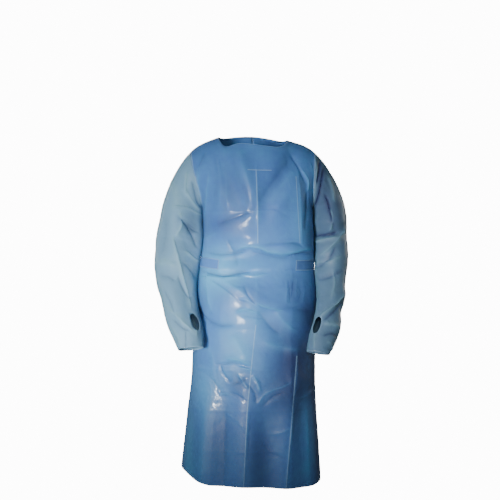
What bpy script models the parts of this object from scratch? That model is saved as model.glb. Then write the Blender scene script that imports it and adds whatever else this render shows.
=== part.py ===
"""A disposable over-the-head gown of thin plastic film, in the hollow form that it takes when it is worn.

Units are metres. +X is the wearer's left, +Y the wearer's back and +Z up. The origin is the middle of the
shoulder line, where the shoulders carry the gown. The front and the back meet in the plane Y = 0, at the
shoulder seams and at the side seams. The back is open from below the neck, and two flat ties close it at
the waist with a bow. Each sleeve ends in a cuff with a thumb hole.
"""

import bisect
import functools
import math
from collections import namedtuple

import bmesh
import bpy
from mathutils import Vector

# Driving dimensions
WALL = 0.0012
SEAM_GAP = 0.0003
NECK_END = 0.575
UNDERARM_Z = -0.225
ROUNDING_DROP = 0.110
ARMHOLE_DEPTH = 0.064
SECTION_POWER = 2.4
SHARP_ANGLE = math.radians(50)

# Mesh density
FRONT_NECK_COLUMNS = 7
BACK_NECK_COLUMNS = 5
OUTER_COLUMNS = 9
YOKE_ROWS = 10
SKIRT_ROWS = 26
CAP_ROWS = 6
ARM_ROWS = 23

# Waist tie and bow
TIE_ROW = 15
TIE_GATHER = 0.5
TIE_FRONT_COLUMNS = 8
TIE_GAP = 0.0004
TIE_HOLD_ROWS = 1.0
TIE_HOLD_ACROSS = (0.50, 0.15)
KNOT_SIZE = Vector((0.030, 0.014, 0.027))
KNOT_STANDOFF = 0.0005
KNOT_POWER = 3.0
KNOT_CUTS = 4
KNOT_PLEAT = 0.06
KNOT_PLEATS = 4
STRIP_CURL = 0.10

# The bow: places across and up from the knot's middle, how far outside the back's own form each lies, the
# strip's width and the slant of its width from upright in degrees
Place = namedtuple("Place", "x z off width lean")
BOW_LOOP = [
    Place(0.0160, 0.001, 0.0120, 0.014, 4),
    Place(0.024, 0.003, 0.0160, 0.020, 6),
    Place(0.045, 0.003, 0.0250, 0.028, 10),
    Place(0.068, -0.004, 0.0310, 0.031, 16),
    Place(0.086, -0.013, 0.0310, 0.032, 20),
    Place(0.095, -0.020, 0.0240, 0.032, 24),
    Place(0.093, -0.023, 0.0160, 0.032, 24),
    Place(0.080, -0.019, 0.0120, 0.032, 20),
    Place(0.060, -0.012, 0.0105, 0.029, 16),
    Place(0.040, -0.007, 0.0095, 0.024, 10),
    Place(0.0160, -0.002, 0.0080, 0.014, 4),
]
BOW_TAIL = [
    Place(0.006, -0.0140, 0.0105, 0.012, 84),
    Place(0.010, -0.024, 0.0110, 0.018, 80),
    Place(0.018, -0.050, 0.0110, 0.026, 72),
    Place(0.027, -0.090, 0.0110, 0.031, 66),
    Place(0.034, -0.135, 0.0110, 0.033, 80),
    Place(0.038, -0.180, 0.0115, 0.034, 96),
    Place(0.045, -0.230, 0.0120, 0.034, 88),
    Place(0.054, -0.280, 0.0125, 0.034, 78),
    Place(0.059, -0.325, 0.0130, 0.034, 84),
]

# Thumb hole, counted in the sleeve's own rows and columns
HOLE_ROWS = (24, 27)
HOLE_COLUMNS = 2
HOLE_COLUMN = {1: 6, -1: 6}

Section = namedtuple("Section", "z left right front back")
BODY = [
    Section(0.030, -0.200, 0.186, 0.102, 0.082),
    Section(-0.050, -0.200, 0.186, 0.108, 0.092),
    Section(-0.090, -0.195, 0.185, 0.120, 0.102),
    Section(-0.140, -0.183, 0.183, 0.132, 0.112),
    Section(-0.190, -0.171, 0.183, 0.138, 0.116),
    Section(-0.240, -0.166, 0.183, 0.140, 0.114),
    Section(-0.330, -0.164, 0.188, 0.139, 0.104),
    Section(-0.375, -0.170, 0.188, 0.137, 0.098),
    Section(-0.420, -0.176, 0.187, 0.126, 0.096),
    Section(-0.480, -0.186, 0.194, 0.140, 0.114),
    Section(-0.550, -0.194, 0.197, 0.150, 0.130),
    Section(-0.650, -0.198, 0.193, 0.161, 0.138),
    Section(-0.750, -0.201, 0.191, 0.168, 0.140),
    Section(-0.860, -0.214, 0.195, 0.171, 0.144),
    Section(-0.960, -0.225, 0.202, 0.169, 0.149),
    Section(-1.060, -0.236, 0.208, 0.165, 0.154),
    Section(-1.100, -0.238, 0.210, 0.164, 0.156),
]

Ridge = namedtuple("Ridge", "across z")
SHOULDER_RIDGE = [
    Ridge(-1.000, -0.041),
    Ridge(-0.900, -0.027),
    Ridge(-0.800, -0.017),
    Ridge(-NECK_END, 0.000),
    Ridge(-0.300, 0.020),
    Ridge(0.000, 0.026),
    Ridge(0.300, 0.014),
    Ridge(NECK_END, -0.010),
    Ridge(0.800, -0.023),
    Ridge(0.900, -0.032),
    Ridge(1.000, -0.045),
]

Edge = namedtuple("Edge", "across z")
FRONT_NECK = [
    Edge(-NECK_END, 0.000),
    Edge(-0.540, -0.020),
    Edge(-0.447, -0.041),
    Edge(-0.367, -0.038),
    Edge(-0.247, -0.027),
    Edge(-0.050, -0.030),
    Edge(0.110, -0.034),
    Edge(0.270, -0.037),
    Edge(0.350, -0.040),
    Edge(0.450, -0.038),
    Edge(0.540, -0.026),
    Edge(NECK_END, -0.010),
]
BACK_NECK = [
    Edge(-NECK_END, 0.000),
    Edge(-0.500, -0.003),
    Edge(-0.300, 0.004),
    Edge(0.000, 0.006),
    Edge(0.300, -0.003),
    Edge(0.500, -0.012),
    Edge(NECK_END, -0.010),
]
FRONT_HEM = [
    Edge(-1.000, -1.046),
    Edge(-0.945, -1.051),
    Edge(-0.835, -1.063),
    Edge(-0.700, -1.078),
    Edge(-0.550, -1.086),
    Edge(0.000, -1.088),
    Edge(0.850, -1.096),
    Edge(1.000, -1.087),
]
BACK_HEM = [
    Edge(-1.000, -1.046),
    Edge(-0.500, -1.072),
    Edge(0.000, -1.084),
    Edge(0.500, -1.086),
    Edge(1.000, -1.087),
]

# Half of the gap between the two back edges
Opening = namedtuple("Opening", "z half")
BACK_OPENING = [
    Opening(0.030, 0.00015),
    Opening(-0.040, 0.00015),
    Opening(-0.130, 0.018),
    Opening(-0.220, 0.027),
    Opening(-0.320, 0.022),
    Opening(-0.400, 0.010),
    Opening(-0.480, 0.018),
    Opening(-0.650, 0.030),
    Opening(-0.850, 0.036),
    Opening(-1.100, 0.048),
]

# One row for each fold, as seen from the front or the back: a line from (x0, z0) to (x1, z1), the half
# width of the fold, and its height, which is negative for a trough
Fold = namedtuple("Fold", "x0 z0 x1 z1 width height")
FRONT_FOLDS = [
    Fold(-0.086, -0.050, -0.038, -0.110, 0.026, 0.009),
    Fold(-0.038, -0.110, 0.000, -0.245, 0.024, 0.010),
    Fold(-0.105, -0.095, -0.040, -0.225, 0.026, -0.007),
    Fold(0.112, -0.090, 0.022, -0.240, 0.024, -0.010),
    Fold(0.118, -0.150, 0.060, -0.235, 0.026, 0.006),
    Fold(-0.150, -0.070, -0.138, -0.200, 0.022, -0.007),
    Fold(-0.122, -0.160, -0.120, -0.300, 0.024, 0.005),
    Fold(0.118, -0.070, 0.160, -0.165, 0.022, -0.008),
    Fold(0.136, -0.160, 0.143, -0.330, 0.020, 0.007),
    Fold(-0.140, -0.352, -0.030, -0.356, 0.022, -0.008),
    Fold(-0.020, -0.338, 0.105, -0.362, 0.022, 0.010),
    Fold(0.090, -0.358, 0.185, -0.366, 0.020, 0.010),
    Fold(0.080, -0.396, 0.180, -0.398, 0.022, -0.006),
    Fold(-0.178, -0.424, -0.040, -0.430, 0.022, -0.009),
    Fold(-0.040, -0.430, 0.060, -0.410, 0.024, -0.005),
    Fold(-0.135, -0.462, 0.018, -0.520, 0.026, 0.007),
    Fold(0.018, -0.520, 0.110, -0.552, 0.026, 0.008),
    Fold(-0.185, -0.520, -0.150, -0.575, 0.024, -0.008),
    Fold(-0.150, -0.575, -0.060, -0.602, 0.026, -0.006),
    Fold(0.036, -0.560, 0.085, -0.640, 0.026, -0.007),
    Fold(-0.040, -0.700, 0.012, -0.705, 0.030, 0.006),
    Fold(0.030, -0.835, 0.135, -0.770, 0.024, 0.006),
    Fold(-0.020, -0.780, -0.034, -1.120, 0.026, 0.008),
    Fold(-0.096, -0.780, -0.104, -1.120, 0.034, -0.009),
    Fold(0.030, -0.850, 0.034, -1.120, 0.034, -0.008),
    Fold(0.120, -0.660, 0.090, -1.120, 0.024, 0.009),
    Fold(-0.165, -0.760, -0.172, -1.120, 0.030, 0.007),
    Fold(0.150, -0.850, 0.158, -1.120, 0.024, -0.008),
]
BACK_FOLDS = [
    Fold(-0.120, -0.070, -0.090, -0.330, 0.026, 0.007),
    Fold(0.125, -0.070, 0.098, -0.330, 0.026, 0.007),
    Fold(-0.070, -0.150, -0.048, -0.385, 0.026, -0.008),
    Fold(0.074, -0.150, 0.050, -0.385, 0.026, -0.008),
    Fold(-0.160, -0.330, -0.060, -0.384, 0.022, 0.008),
    Fold(0.165, -0.335, 0.062, -0.384, 0.022, 0.008),
    Fold(-0.165, -0.500, -0.050, -0.440, 0.024, -0.008),
    Fold(0.168, -0.510, 0.050, -0.440, 0.024, -0.008),
    Fold(-0.056, -0.450, -0.088, -1.120, 0.030, 0.011),
    Fold(0.056, -0.450, 0.090, -1.120, 0.030, 0.011),
    Fold(-0.110, -0.560, -0.138, -1.120, 0.026, -0.010),
    Fold(0.112, -0.560, 0.136, -1.120, 0.026, -0.010),
    Fold(-0.150, -0.600, -0.190, -1.120, 0.024, 0.008),
    Fold(0.152, -0.600, 0.176, -1.120, 0.024, 0.008),
]

Ring = namedtuple("Ring", "z x y half_width half_depth")
RIGHT_ARM = [
    Ring(-0.270, -0.2385, 0.004, 0.0675, 0.060),
    Ring(-0.330, -0.2428, 0.002, 0.0757, 0.060),
    Ring(-0.378, -0.2484, -0.011, 0.0712, 0.059),
    Ring(-0.420, -0.2500, -0.020, 0.0700, 0.057),
    Ring(-0.458, -0.2495, -0.036, 0.0645, 0.055),
    Ring(-0.515, -0.2390, -0.070, 0.0545, 0.050),
    Ring(-0.573, -0.2240, -0.106, 0.0540, 0.044),
    Ring(-0.618, -0.2080, -0.133, 0.0490, 0.038),
    Ring(-0.645, -0.2010, -0.147, 0.0430, 0.035),
    Ring(-0.664, -0.1970, -0.156, 0.0390, 0.032),
]
LEFT_ARM = [
    Ring(-0.258, 0.2405, 0.004, 0.0535, 0.061),
    Ring(-0.310, 0.2420, 0.002, 0.0520, 0.061),
    Ring(-0.380, 0.2452, -0.008, 0.0528, 0.059),
    Ring(-0.460, 0.2417, -0.036, 0.0448, 0.054),
    Ring(-0.515, 0.2430, -0.066, 0.0400, 0.049),
    Ring(-0.550, 0.2300, -0.088, 0.0370, 0.043),
    Ring(-0.588, 0.2240, -0.110, 0.0445, 0.040),
    Ring(-0.625, 0.2110, -0.131, 0.0430, 0.036),
    Ring(-0.656, 0.1980, -0.146, 0.0390, 0.033),
    Ring(-0.678, 0.1920, -0.154, 0.0355, 0.031),
]

RIGHT_SLEEVE_FRONT_FOLDS = [
    Fold(-0.205, -0.090, -0.180, -0.190, 0.020, 0.006),
    Fold(-0.226, -0.140, -0.200, -0.230, 0.020, -0.008),
    Fold(-0.270, -0.205, -0.190, -0.225, 0.020, 0.008),
    Fold(-0.250, -0.250, -0.252, -0.360, 0.020, 0.006),
    Fold(-0.215, -0.280, -0.200, -0.380, 0.022, -0.008),
    Fold(-0.252, -0.370, -0.206, -0.470, 0.020, 0.007),
    Fold(-0.300, -0.400, -0.262, -0.410, 0.022, 0.006),
    Fold(-0.272, -0.470, -0.215, -0.600, 0.018, 0.007),
    Fold(-0.225, -0.480, -0.188, -0.560, 0.018, -0.006),
]
LEFT_SLEEVE_FRONT_FOLDS = [
    Fold(0.188, -0.070, 0.196, -0.150, 0.016, -0.007),
    Fold(0.222, -0.090, 0.196, -0.200, 0.016, 0.007),
    Fold(0.238, -0.130, 0.206, -0.240, 0.016, -0.008),
    Fold(0.222, -0.180, 0.250, -0.260, 0.018, 0.006),
    Fold(0.200, -0.276, 0.262, -0.270, 0.018, 0.008),
    Fold(0.200, -0.310, 0.270, -0.312, 0.020, -0.008),
    Fold(0.205, -0.350, 0.270, -0.330, 0.018, 0.006),
    Fold(0.215, -0.410, 0.255, -0.470, 0.020, -0.005),
    Fold(0.208, -0.522, 0.280, -0.505, 0.016, 0.007),
    Fold(0.190, -0.600, 0.225, -0.560, 0.016, 0.006),
]
RIGHT_SLEEVE_BACK_FOLDS = [
    Fold(-0.214, -0.120, -0.190, -0.240, 0.020, -0.007),
    Fold(-0.260, -0.200, -0.232, -0.330, 0.022, 0.007),
    Fold(-0.200, -0.330, -0.290, -0.390, 0.020, 0.008),
    Fold(-0.195, -0.390, -0.285, -0.440, 0.020, -0.008),
    Fold(-0.205, -0.440, -0.270, -0.560, 0.020, 0.007),
]
LEFT_SLEEVE_BACK_FOLDS = [
    Fold(0.214, -0.120, 0.196, -0.240, 0.018, -0.007),
    Fold(0.252, -0.190, 0.232, -0.300, 0.020, 0.006),
    Fold(0.208, -0.320, 0.286, -0.360, 0.018, 0.008),
    Fold(0.205, -0.375, 0.280, -0.420, 0.018, -0.008),
    Fold(0.215, -0.430, 0.265, -0.520, 0.018, 0.006),
]

SLEEVE_FOLDS = {
    (1, True): LEFT_SLEEVE_FRONT_FOLDS,
    (1, False): LEFT_SLEEVE_BACK_FOLDS,
    (-1, True): RIGHT_SLEEVE_FRONT_FOLDS,
    (-1, False): RIGHT_SLEEVE_BACK_FOLDS,
}

SHOULDER_TANGENT = Vector((0.155, 0.0, -0.130))
UNDERARM_TANGENT = Vector((0.034, 0.0, 0.0))
ARM_TANGENT_TOP = 0.200
ARM_TANGENT_UNDER = 0.075
DIFFERENCE_STEP = 0.5
DIFFERENCE_TURN = math.radians(2.8)
ARM_STEP = 0.004
FOLD_EASE_ROWS = 3.0
SEAM_EASE_POWER = 6
SEAM_EASE_ARM = 1.6
SEAM_TURN = 1e-6
SEAM_STEP = 0.02
ON_SEAM = 0.9999

Finish = namedtuple("Finish", "red green blue roughness")
BODY_FILM = Finish(0.150, 0.300, 0.470, 0.38)
SLEEVE_FILM = Finish(0.200, 0.380, 0.470, 0.38)
TIE_FILM = Finish(0.130, 0.270, 0.430, 0.40)


def curve(table, key, value):
    """A smooth curve through one column of a table: level at a peak or a dip, and flat beyond its ends."""
    rows = sorted((getattr(row, key), getattr(row, value)) for row in table)
    at, out = [row[0] for row in rows], [row[1] for row in rows]
    secants = [(d - b) / (c - a) for a, b, c, d in zip(at, out, at[1:], out[1:])]
    inner = [2.0 * a * b / (a + b) if a * b > 0.0 else 0.0 for a, b in zip(secants, secants[1:])]
    slopes = secants[:1] + inner + secants[-1:]

    def value_at(where):
        if where <= at[0] or where >= at[-1]:
            return out[0] if where <= at[0] else out[-1]
        i = bisect.bisect_right(at, where) - 1
        span = at[i + 1] - at[i]
        t = (where - at[i]) / span
        ends = (1 + 2 * t) * (1 - t) ** 2 * out[i] + t * t * (3 - 2 * t) * out[i + 1]
        return ends + span * t * (1 - t) * ((1 - t) * slopes[i] - t * slopes[i + 1])

    return value_at


body_left = curve(BODY, "z", "left")
body_right = curve(BODY, "z", "right")
body_depth = {True: curve(BODY, "z", "front"), False: curve(BODY, "z", "back")}
ridge_height = curve(SHOULDER_RIDGE, "across", "z")
neck_edge = {True: curve(FRONT_NECK, "across", "z"), False: curve(BACK_NECK, "across", "z")}
hem_edge = {True: curve(FRONT_HEM, "across", "z"), False: curve(BACK_HEM, "across", "z")}
back_opening = curve(BACK_OPENING, "z", "half")
arm_curves = {
    side: [curve(table, "z", name) for name in ("x", "y", "half_width", "half_depth")]
    for side, table in ((1, LEFT_ARM), (-1, RIGHT_ARM))
}
arm_ends = {1: (LEFT_ARM[0].z, LEFT_ARM[-1].z), -1: (RIGHT_ARM[0].z, RIGHT_ARM[-1].z)}


def fold_height(folds, x, z):
    """The sum of the folds at a point of the front or the back view."""
    total = 0.0
    for fold in folds:
        along_x, along_z = fold.x1 - fold.x0, fold.z1 - fold.z0
        length = math.hypot(along_x, along_z)
        t = ((x - fold.x0) * along_x + (z - fold.z0) * along_z) / length**2
        off = abs((x - fold.x0) * along_z - (z - fold.z0) * along_x) / length
        beyond = max(-t, t - 1.0, 0.0) * length
        distance = math.hypot(off, beyond) / fold.width
        total += fold.height * math.exp(-distance * distance)
    return total


def rounding(drop):
    """How far forward the cloth has come, as a share of its depth, at a drop below the shoulder ridge."""
    rest = 1.0 - min(drop, ROUNDING_DROP) / ROUNDING_DROP
    return math.sqrt(max(0.0, 1.0 - rest * rest))


def armhole_reach(side, z):
    """Distance of the armhole's edge from the plane of the side seams."""
    tip = ridge_height(side)
    t = min(max((tip - z) / (tip - UNDERARM_Z), 0.0), 1.0)
    return ARMHOLE_DEPTH * math.sqrt(max(0.0, 1.0 - (2.0 * t - 1.0) ** 2))


def row_height(turn, row):
    """Height of a row of the body's mesh. Row 0 is the top edge, and YOKE_ROWS is level with the underarm."""
    across = math.sin(turn)
    front = math.cos(turn) >= 0.0
    ridge = ridge_height(across)
    top = min(ridge, neck_edge[front](across)) if abs(across) < NECK_END else ridge
    if row <= YOKE_ROWS:
        share = (1.0 - math.cos(math.pi * row / YOKE_ROWS)) / 2.0
        return ridge, top + (UNDERARM_Z - top) * share
    share = (row - YOKE_ROWS) / SKIRT_ROWS
    return ridge, UNDERARM_Z + (hem_edge[front](across) - UNDERARM_Z) * share


@functools.lru_cache(maxsize=None)
def body_base(turn, row):
    """A point of the body's smooth form. turn is 0 at the centre front and pi at the centre back."""
    across = math.sin(turn)
    front = math.cos(turn) >= 0.0
    ridge, z = row_height(turn, row)
    left, right = body_left(z), body_right(z)
    depth = body_depth[front](z) * rounding(ridge - z)
    edge = 0.0
    if z > UNDERARM_Z and depth > 0.0:
        edge = min(1.0, armhole_reach(math.copysign(1.0, across), z) / depth)
    narrowing = abs(across) ** SECTION_POWER * (1.0 - edge**SECTION_POWER)
    reach = depth * max(0.0, 1.0 - narrowing) ** (1.0 / SECTION_POWER) + SEAM_GAP / 2.0
    x = (left + right) / 2.0 + across * (right - left) / 2.0
    return Vector((x, -reach if front else reach, z))


def outward(point_at, a, b, step_a, step_b, low_b, high_b, a_limits):
    """Unit normal of a surface by differences, one-sided at the limits given."""
    a0, a1 = max(a - step_a, a_limits[0]), min(a + step_a, a_limits[1])
    b0, b1 = max(b - step_b, low_b), min(b + step_b, high_b)
    along_a = point_at(a1, b) - point_at(a0, b)
    along_b = point_at(a, b1) - point_at(a, b0)
    return along_b.cross(along_a).normalized()


def turn_limits(turn, row):
    """Where the body's rows end sideways: at the armholes above the underarm, and nowhere below it."""
    if row >= YOKE_ROWS:
        return -math.inf, math.inf
    quarter = math.pi / 2.0
    if math.cos(turn) >= 0.0:
        return -quarter, quarter
    behind = quarter + SEAM_TURN
    return (behind, math.inf) if turn > 0.0 else (-math.inf, -behind)


def across_ridge(turn, row):
    """Follows a row number above the shoulder seam down the other side."""
    return (turn, row) if row >= 0.0 else (math.pi - turn, -row)


def body_smooth_point(turn, row):
    return body_base(*across_ridge(turn, row))


def lowest_row(turn):
    """Row numbers may run past the shoulder seam, but not past the neck's edge."""
    return -1.0 if abs(math.sin(turn)) >= NECK_END else 0.0


def body_normal(point_at, turn, row):
    return outward(
        point_at,
        turn,
        row,
        DIFFERENCE_TURN,
        DIFFERENCE_STEP,
        lowest_row(turn),
        YOKE_ROWS + SKIRT_ROWS,
        turn_limits(turn, row),
    )


def left_by_tie(turn, row):
    """The share of the folds' height that is left near the tie, which draws the cloth flat."""
    off = max(0.0, abs(row - TIE_ROW - 0.5) - 0.5)
    free = min(1.0, off / TIE_HOLD_ROWS)
    covered = 1.0
    if math.cos(turn) >= 0.0:
        covered = min(max((abs(math.sin(turn)) - TIE_HOLD_ACROSS[0]) / TIE_HOLD_ACROSS[1], 0.0), 1.0)
    return 1.0 - (1.0 - free) * covered


@functools.lru_cache(maxsize=None)
def body_point(turn, row):
    """A point of the body's cloth, with its folds, at the middle of the wall."""
    turn, row = across_ridge(turn, row)
    base = body_base(turn, row)
    folds = FRONT_FOLDS if math.cos(turn) >= 0.0 else BACK_FOLDS
    ease = (1.0 - abs(math.sin(turn)) ** SEAM_EASE_POWER) * min(1.0, row / FOLD_EASE_ROWS)
    height = fold_height(folds, base.x, base.z) * ease * left_by_tie(turn, row)
    return base + body_normal(body_smooth_point, turn, row) * height


def wall(name, points, normals, faces, finish, lift=0.0):
    """A cloth wall: the faces' points moved out along their normals to its two sides, with closed rims.

    lift is how far the middle of the wall lies outside the points."""
    mesh = bmesh.new()
    used = sorted({index for face in faces for index in face})
    outside = {i: mesh.verts.new(points[i] + normals[i] * (lift + WALL / 2.0)) for i in used}
    inside = {i: mesh.verts.new(points[i] + normals[i] * (lift - WALL / 2.0)) for i in used}
    edges = {}
    for face in faces:
        mesh.faces.new([outside[i] for i in face])
        mesh.faces.new([inside[i] for i in reversed(face)])
        for a, b in zip(face, face[1:] + face[:1]):
            edges[(a, b)] = (b, a)
    for (a, b), opposite in edges.items():
        if opposite not in edges:
            mesh.faces.new([outside[b], outside[a], inside[a], inside[b]])
    bmesh.ops.recalc_face_normals(mesh, faces=mesh.faces)
    return finished(name, mesh, finish)


def finished(name, mesh, finish):
    """Makes the object of a node, with its film material."""
    data = bpy.data.meshes.new(name)
    mesh.to_mesh(data)
    mesh.free()
    data.shade_smooth()
    data.set_sharp_from_angle(angle=SHARP_ANGLE)
    data.materials.append(film(finish))
    made = bpy.data.objects.new(name, data)
    bpy.context.scene.collection.objects.link(made)
    return made


def film(finish):
    name = "film_{:.3f}_{:.3f}_{:.3f}".format(finish.red, finish.green, finish.blue)
    material = bpy.data.materials.get(name) or bpy.data.materials.new(name)
    material.use_nodes = True
    shader = material.node_tree.nodes["Principled BSDF"]
    shader.inputs["Base Color"].default_value = (finish.red, finish.green, finish.blue, 1.0)
    shader.inputs["Roughness"].default_value = finish.roughness
    shader.inputs["Metallic"].default_value = 0.0
    return material


def grid_faces(columns, rows, closed=False, skip=()):
    """Triangles of a grid whose point (column, row) has the index column * (rows + 1) + row."""
    count = columns if closed else columns + 1
    faces = []
    for i in range(columns):
        for j in range(rows):
            if (i, j) in skip:
                continue
            a, b = i * (rows + 1) + j, (i + 1) % count * (rows + 1) + j
            faces.append([a, a + 1, b + 1])
            faces.append([a, b + 1, b])
    return faces


def body_panel(name, turns_at):
    """A panel of the body. turns_at gives the turn of each column at a height, so an edge may slant."""
    rows = YOKE_ROWS + SKIRT_ROWS
    points, normals = [], []
    for column in turns_at:
        for row in range(rows + 1):
            turn = column(row)
            points.append(body_point(turn, row))
            if abs(math.sin(turn)) > ON_SEAM and row <= YOKE_ROWS:
                around = math.pi * row / YOKE_ROWS
                around = around if math.cos(turn) >= 0.0 else 2.0 * math.pi - around
                normals.append(armhole_seam(1 if turn > 0.0 else -1, around)[1])
            else:
                normals.append(body_normal(body_point, turn, row))
    faces = grid_faces(len(turns_at) - 1, rows)
    return wall(name, points, normals, faces, BODY_FILM)


def half_turns(neck_columns):
    """Turns of the columns from the centre to a side seam, closer together towards the neck's end."""
    corner = math.asin(NECK_END)
    inner = [corner * math.sin(math.pi / 2.0 * i / neck_columns) for i in range(neck_columns)]
    outer = [corner + (math.pi / 2.0 - corner) * i / OUTER_COLUMNS for i in range(OUTER_COLUMNS + 1)]
    return inner + outer


def front_turns():
    """Columns of the front, from the wearer's right side seam to the left one."""
    half = half_turns(FRONT_NECK_COLUMNS)
    return [lambda row, turn=turn: turn for turn in [-t for t in half[:0:-1]] + half]


def opening_turn(row):
    """How far the back's free edge lies from the centre back, as an angle."""
    z = row_height(math.pi, row)[1]
    return math.asin(2.0 * back_opening(z) / (body_right(z) - body_left(z)))


def back_turns(side):
    """Columns of one half of the back, from its side seam to its free edge."""
    corner = math.asin(NECK_END)

    def column(turn):
        if turn >= corner:
            return lambda row: side * (math.pi - min(turn, math.pi / 2.0 - SEAM_TURN))
        return lambda row: side * (math.pi - opening_turn(row) - turn * (1.0 - opening_turn(row) / corner))

    return [column(turn) for turn in reversed(half_turns(BACK_NECK_COLUMNS))]


def arm_ring(side, z):
    """Centre, half width and half depth of a sleeve where its centre line is at a height."""
    x, y, half_width, half_depth = (column(z) for column in arm_curves[side])
    return Vector((x, y, z)), half_width, half_depth


def arm_point(side, around, z):
    """A point of a sleeve below its cap. around is 0 on the outer side, and pi/2 at the front."""
    centre, half_width, half_depth = arm_ring(side, z)
    down = (arm_ring(side, z - ARM_STEP)[0] - arm_ring(side, z + ARM_STEP)[0]).normalized()
    out = Vector((side, 0.0, 0.0))
    out = (out - down * out.dot(down)).normalized()
    forward = down.cross(out) * side
    return centre + out * half_width * math.cos(around) + forward * half_depth * math.sin(around)


def armhole_place(side, around):
    """Turn and row of the body's edge at a place round an armhole."""
    around %= 2.0 * math.pi
    if around <= math.pi:
        return side * math.pi / 2.0, YOKE_ROWS * around / math.pi
    return side * (math.pi / 2.0 + SEAM_TURN), YOKE_ROWS * (2.0 - around / math.pi)


def sleeve_lead(side, around):
    """The direction in which the sleeve leaves the armhole."""
    lead = SHOULDER_TANGENT.lerp(UNDERARM_TANGENT, (1.0 - math.cos(around)) / 2.0)
    lead.x *= side
    return lead


@functools.lru_cache(maxsize=None)
def armhole_seam(side, around):
    """The sleeve's edge just off the body's edge, and the wall's direction that both edges share."""
    place = armhole_place(side, around)
    edge = body_base(*place)
    ahead, behind = (armhole_place(side, around + k * SEAM_STEP) for k in (1, -1))
    along = body_base(*ahead) - body_base(*behind)
    lead = sleeve_lead(side, around)
    out = Vector((0.0, edge.y, edge.z - (ridge_height(side) + UNDERARM_Z) / 2.0))
    sleeve_side = along.cross(lead).normalized()
    sleeve_side *= math.copysign(1.0, sleeve_side.dot(out))
    normal = (sleeve_side + body_normal(body_smooth_point, *place)).normalized()
    apart = along.cross(normal).normalized()
    apart *= math.copysign(1.0, apart.dot(lead))
    return edge + apart * SEAM_GAP, normal


@functools.lru_cache(maxsize=None)
def sleeve_base(side, around, row):
    """A point of a sleeve's smooth form. Row 0 is the armhole, and the cap ends at CAP_ROWS."""
    top, cuff = arm_ends[side]
    if row >= CAP_ROWS:
        return arm_point(side, around, top + (cuff - top) * (row - CAP_ROWS) / ARM_ROWS)
    t = row / CAP_ROWS
    under = (1.0 - math.cos(around)) / 2.0
    start = armhole_seam(side, around)[0]
    end = arm_point(side, around, top)
    down = (arm_ring(side, top - ARM_STEP)[0] - arm_ring(side, top)[0]).normalized()
    tail = down * (ARM_TANGENT_TOP + (ARM_TANGENT_UNDER - ARM_TANGENT_TOP) * under)
    point = start * (1 + 2 * t) * (1 - t) ** 2 + end * t * t * (3 - 2 * t)
    return point + sleeve_lead(side, around) * t * (1 - t) ** 2 - tail * t * t * (1 - t)


@functools.lru_cache(maxsize=None)
def sleeve_point(side, around, row):
    """A point of a sleeve's cloth, with its folds."""
    point = sleeve_base(side, around, row)
    forward = math.sin(around)
    height = fold_height(SLEEVE_FOLDS[side, forward > 0.0], point.x, point.z)
    ease = min(1.0, SEAM_EASE_ARM * abs(forward)) * min(1.0, row / FOLD_EASE_ROWS)
    return point + sleeve_normal(sleeve_base, side, around, row) * height * ease


def sleeve_normal(point_at, side, around, row):
    """Unit normal of a sleeve, outward."""

    def point(a, r):
        return point_at(side, a, r)

    limits = (-math.inf, math.inf)
    step = DIFFERENCE_STEP * math.pi / YOKE_ROWS
    return outward(point, around, row, step, DIFFERENCE_STEP, 0.0, CAP_ROWS + ARM_ROWS, limits) * -side


def round_the_hole(column, row, centre_column, centre_row, half_column, half_row):
    """Moves grid places near a square gap so that its edge becomes round."""
    a, b = (column - centre_column) / half_column, (row - centre_row) / half_row
    square = max(abs(a), abs(b))
    if square == 0.0 or square > 2.0:
        return column, row
    pull = (square / math.hypot(a, b) - 1.0) * min(1.0, 2.0 - square)
    return column + a * pull * half_column, row + b * pull * half_row


def sleeve(name, side):
    """A sleeve from its armhole to its cuff, with the thumb hole left open."""
    columns, rows = 2 * YOKE_ROWS, CAP_ROWS + ARM_ROWS
    hole_rows = range(HOLE_ROWS[0], HOLE_ROWS[1])
    skip = {(HOLE_COLUMN[side] + i, j) for i in range(HOLE_COLUMNS) for j in hole_rows}
    half_column, half_row = HOLE_COLUMNS / 2.0, (HOLE_ROWS[1] - HOLE_ROWS[0]) / 2.0
    middle = (HOLE_COLUMN[side] + half_column, HOLE_ROWS[0] + half_row)
    points, normals = [], []
    for column in range(columns):
        for row in range(rows + 1):
            place = round_the_hole(column, row, *middle, half_column, half_row)
            around = place[0] * math.pi / YOKE_ROWS
            points.append(sleeve_point(side, around, place[1]))
            normal = sleeve_normal(sleeve_point, side, around, place[1])
            normals.append(normal if row else armhole_seam(side, around)[1])
    faces = grid_faces(columns, rows, closed=True, skip=skip)
    return wall(name, points, normals, faces, SLEEVE_FILM)


def waist_tie(name, side):
    """A flat strap laid on the body from the front of the side to the knot, made from the panels' points."""
    columns = front_turns()[-1 - TIE_FRONT_COLUMNS:] + back_turns(1)[1:]
    points, normals = [], []
    for i, column in enumerate(columns):
        ends = [side * column(row) for row in (TIE_ROW, TIE_ROW + 1)]
        upper, lower = (body_point(turn, TIE_ROW + k) for k, turn in enumerate(ends))
        above, below = (body_normal(body_point, turn, TIE_ROW + k) for k, turn in enumerate(ends))
        gathered = max(0.0, (i - TIE_FRONT_COLUMNS) / (OUTER_COLUMNS + BACK_NECK_COLUMNS))
        taken_in = TIE_GATHER / 2.0 * gathered**2
        for share in (taken_in, 1.0 - taken_in):
            points.append(upper.lerp(lower, share))
            normals.append(above.lerp(below, share).normalized())
    return wall(name, points, normals, grid_faces(len(columns) - 1, 1), TIE_FILM, WALL + TIE_GAP)


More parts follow.
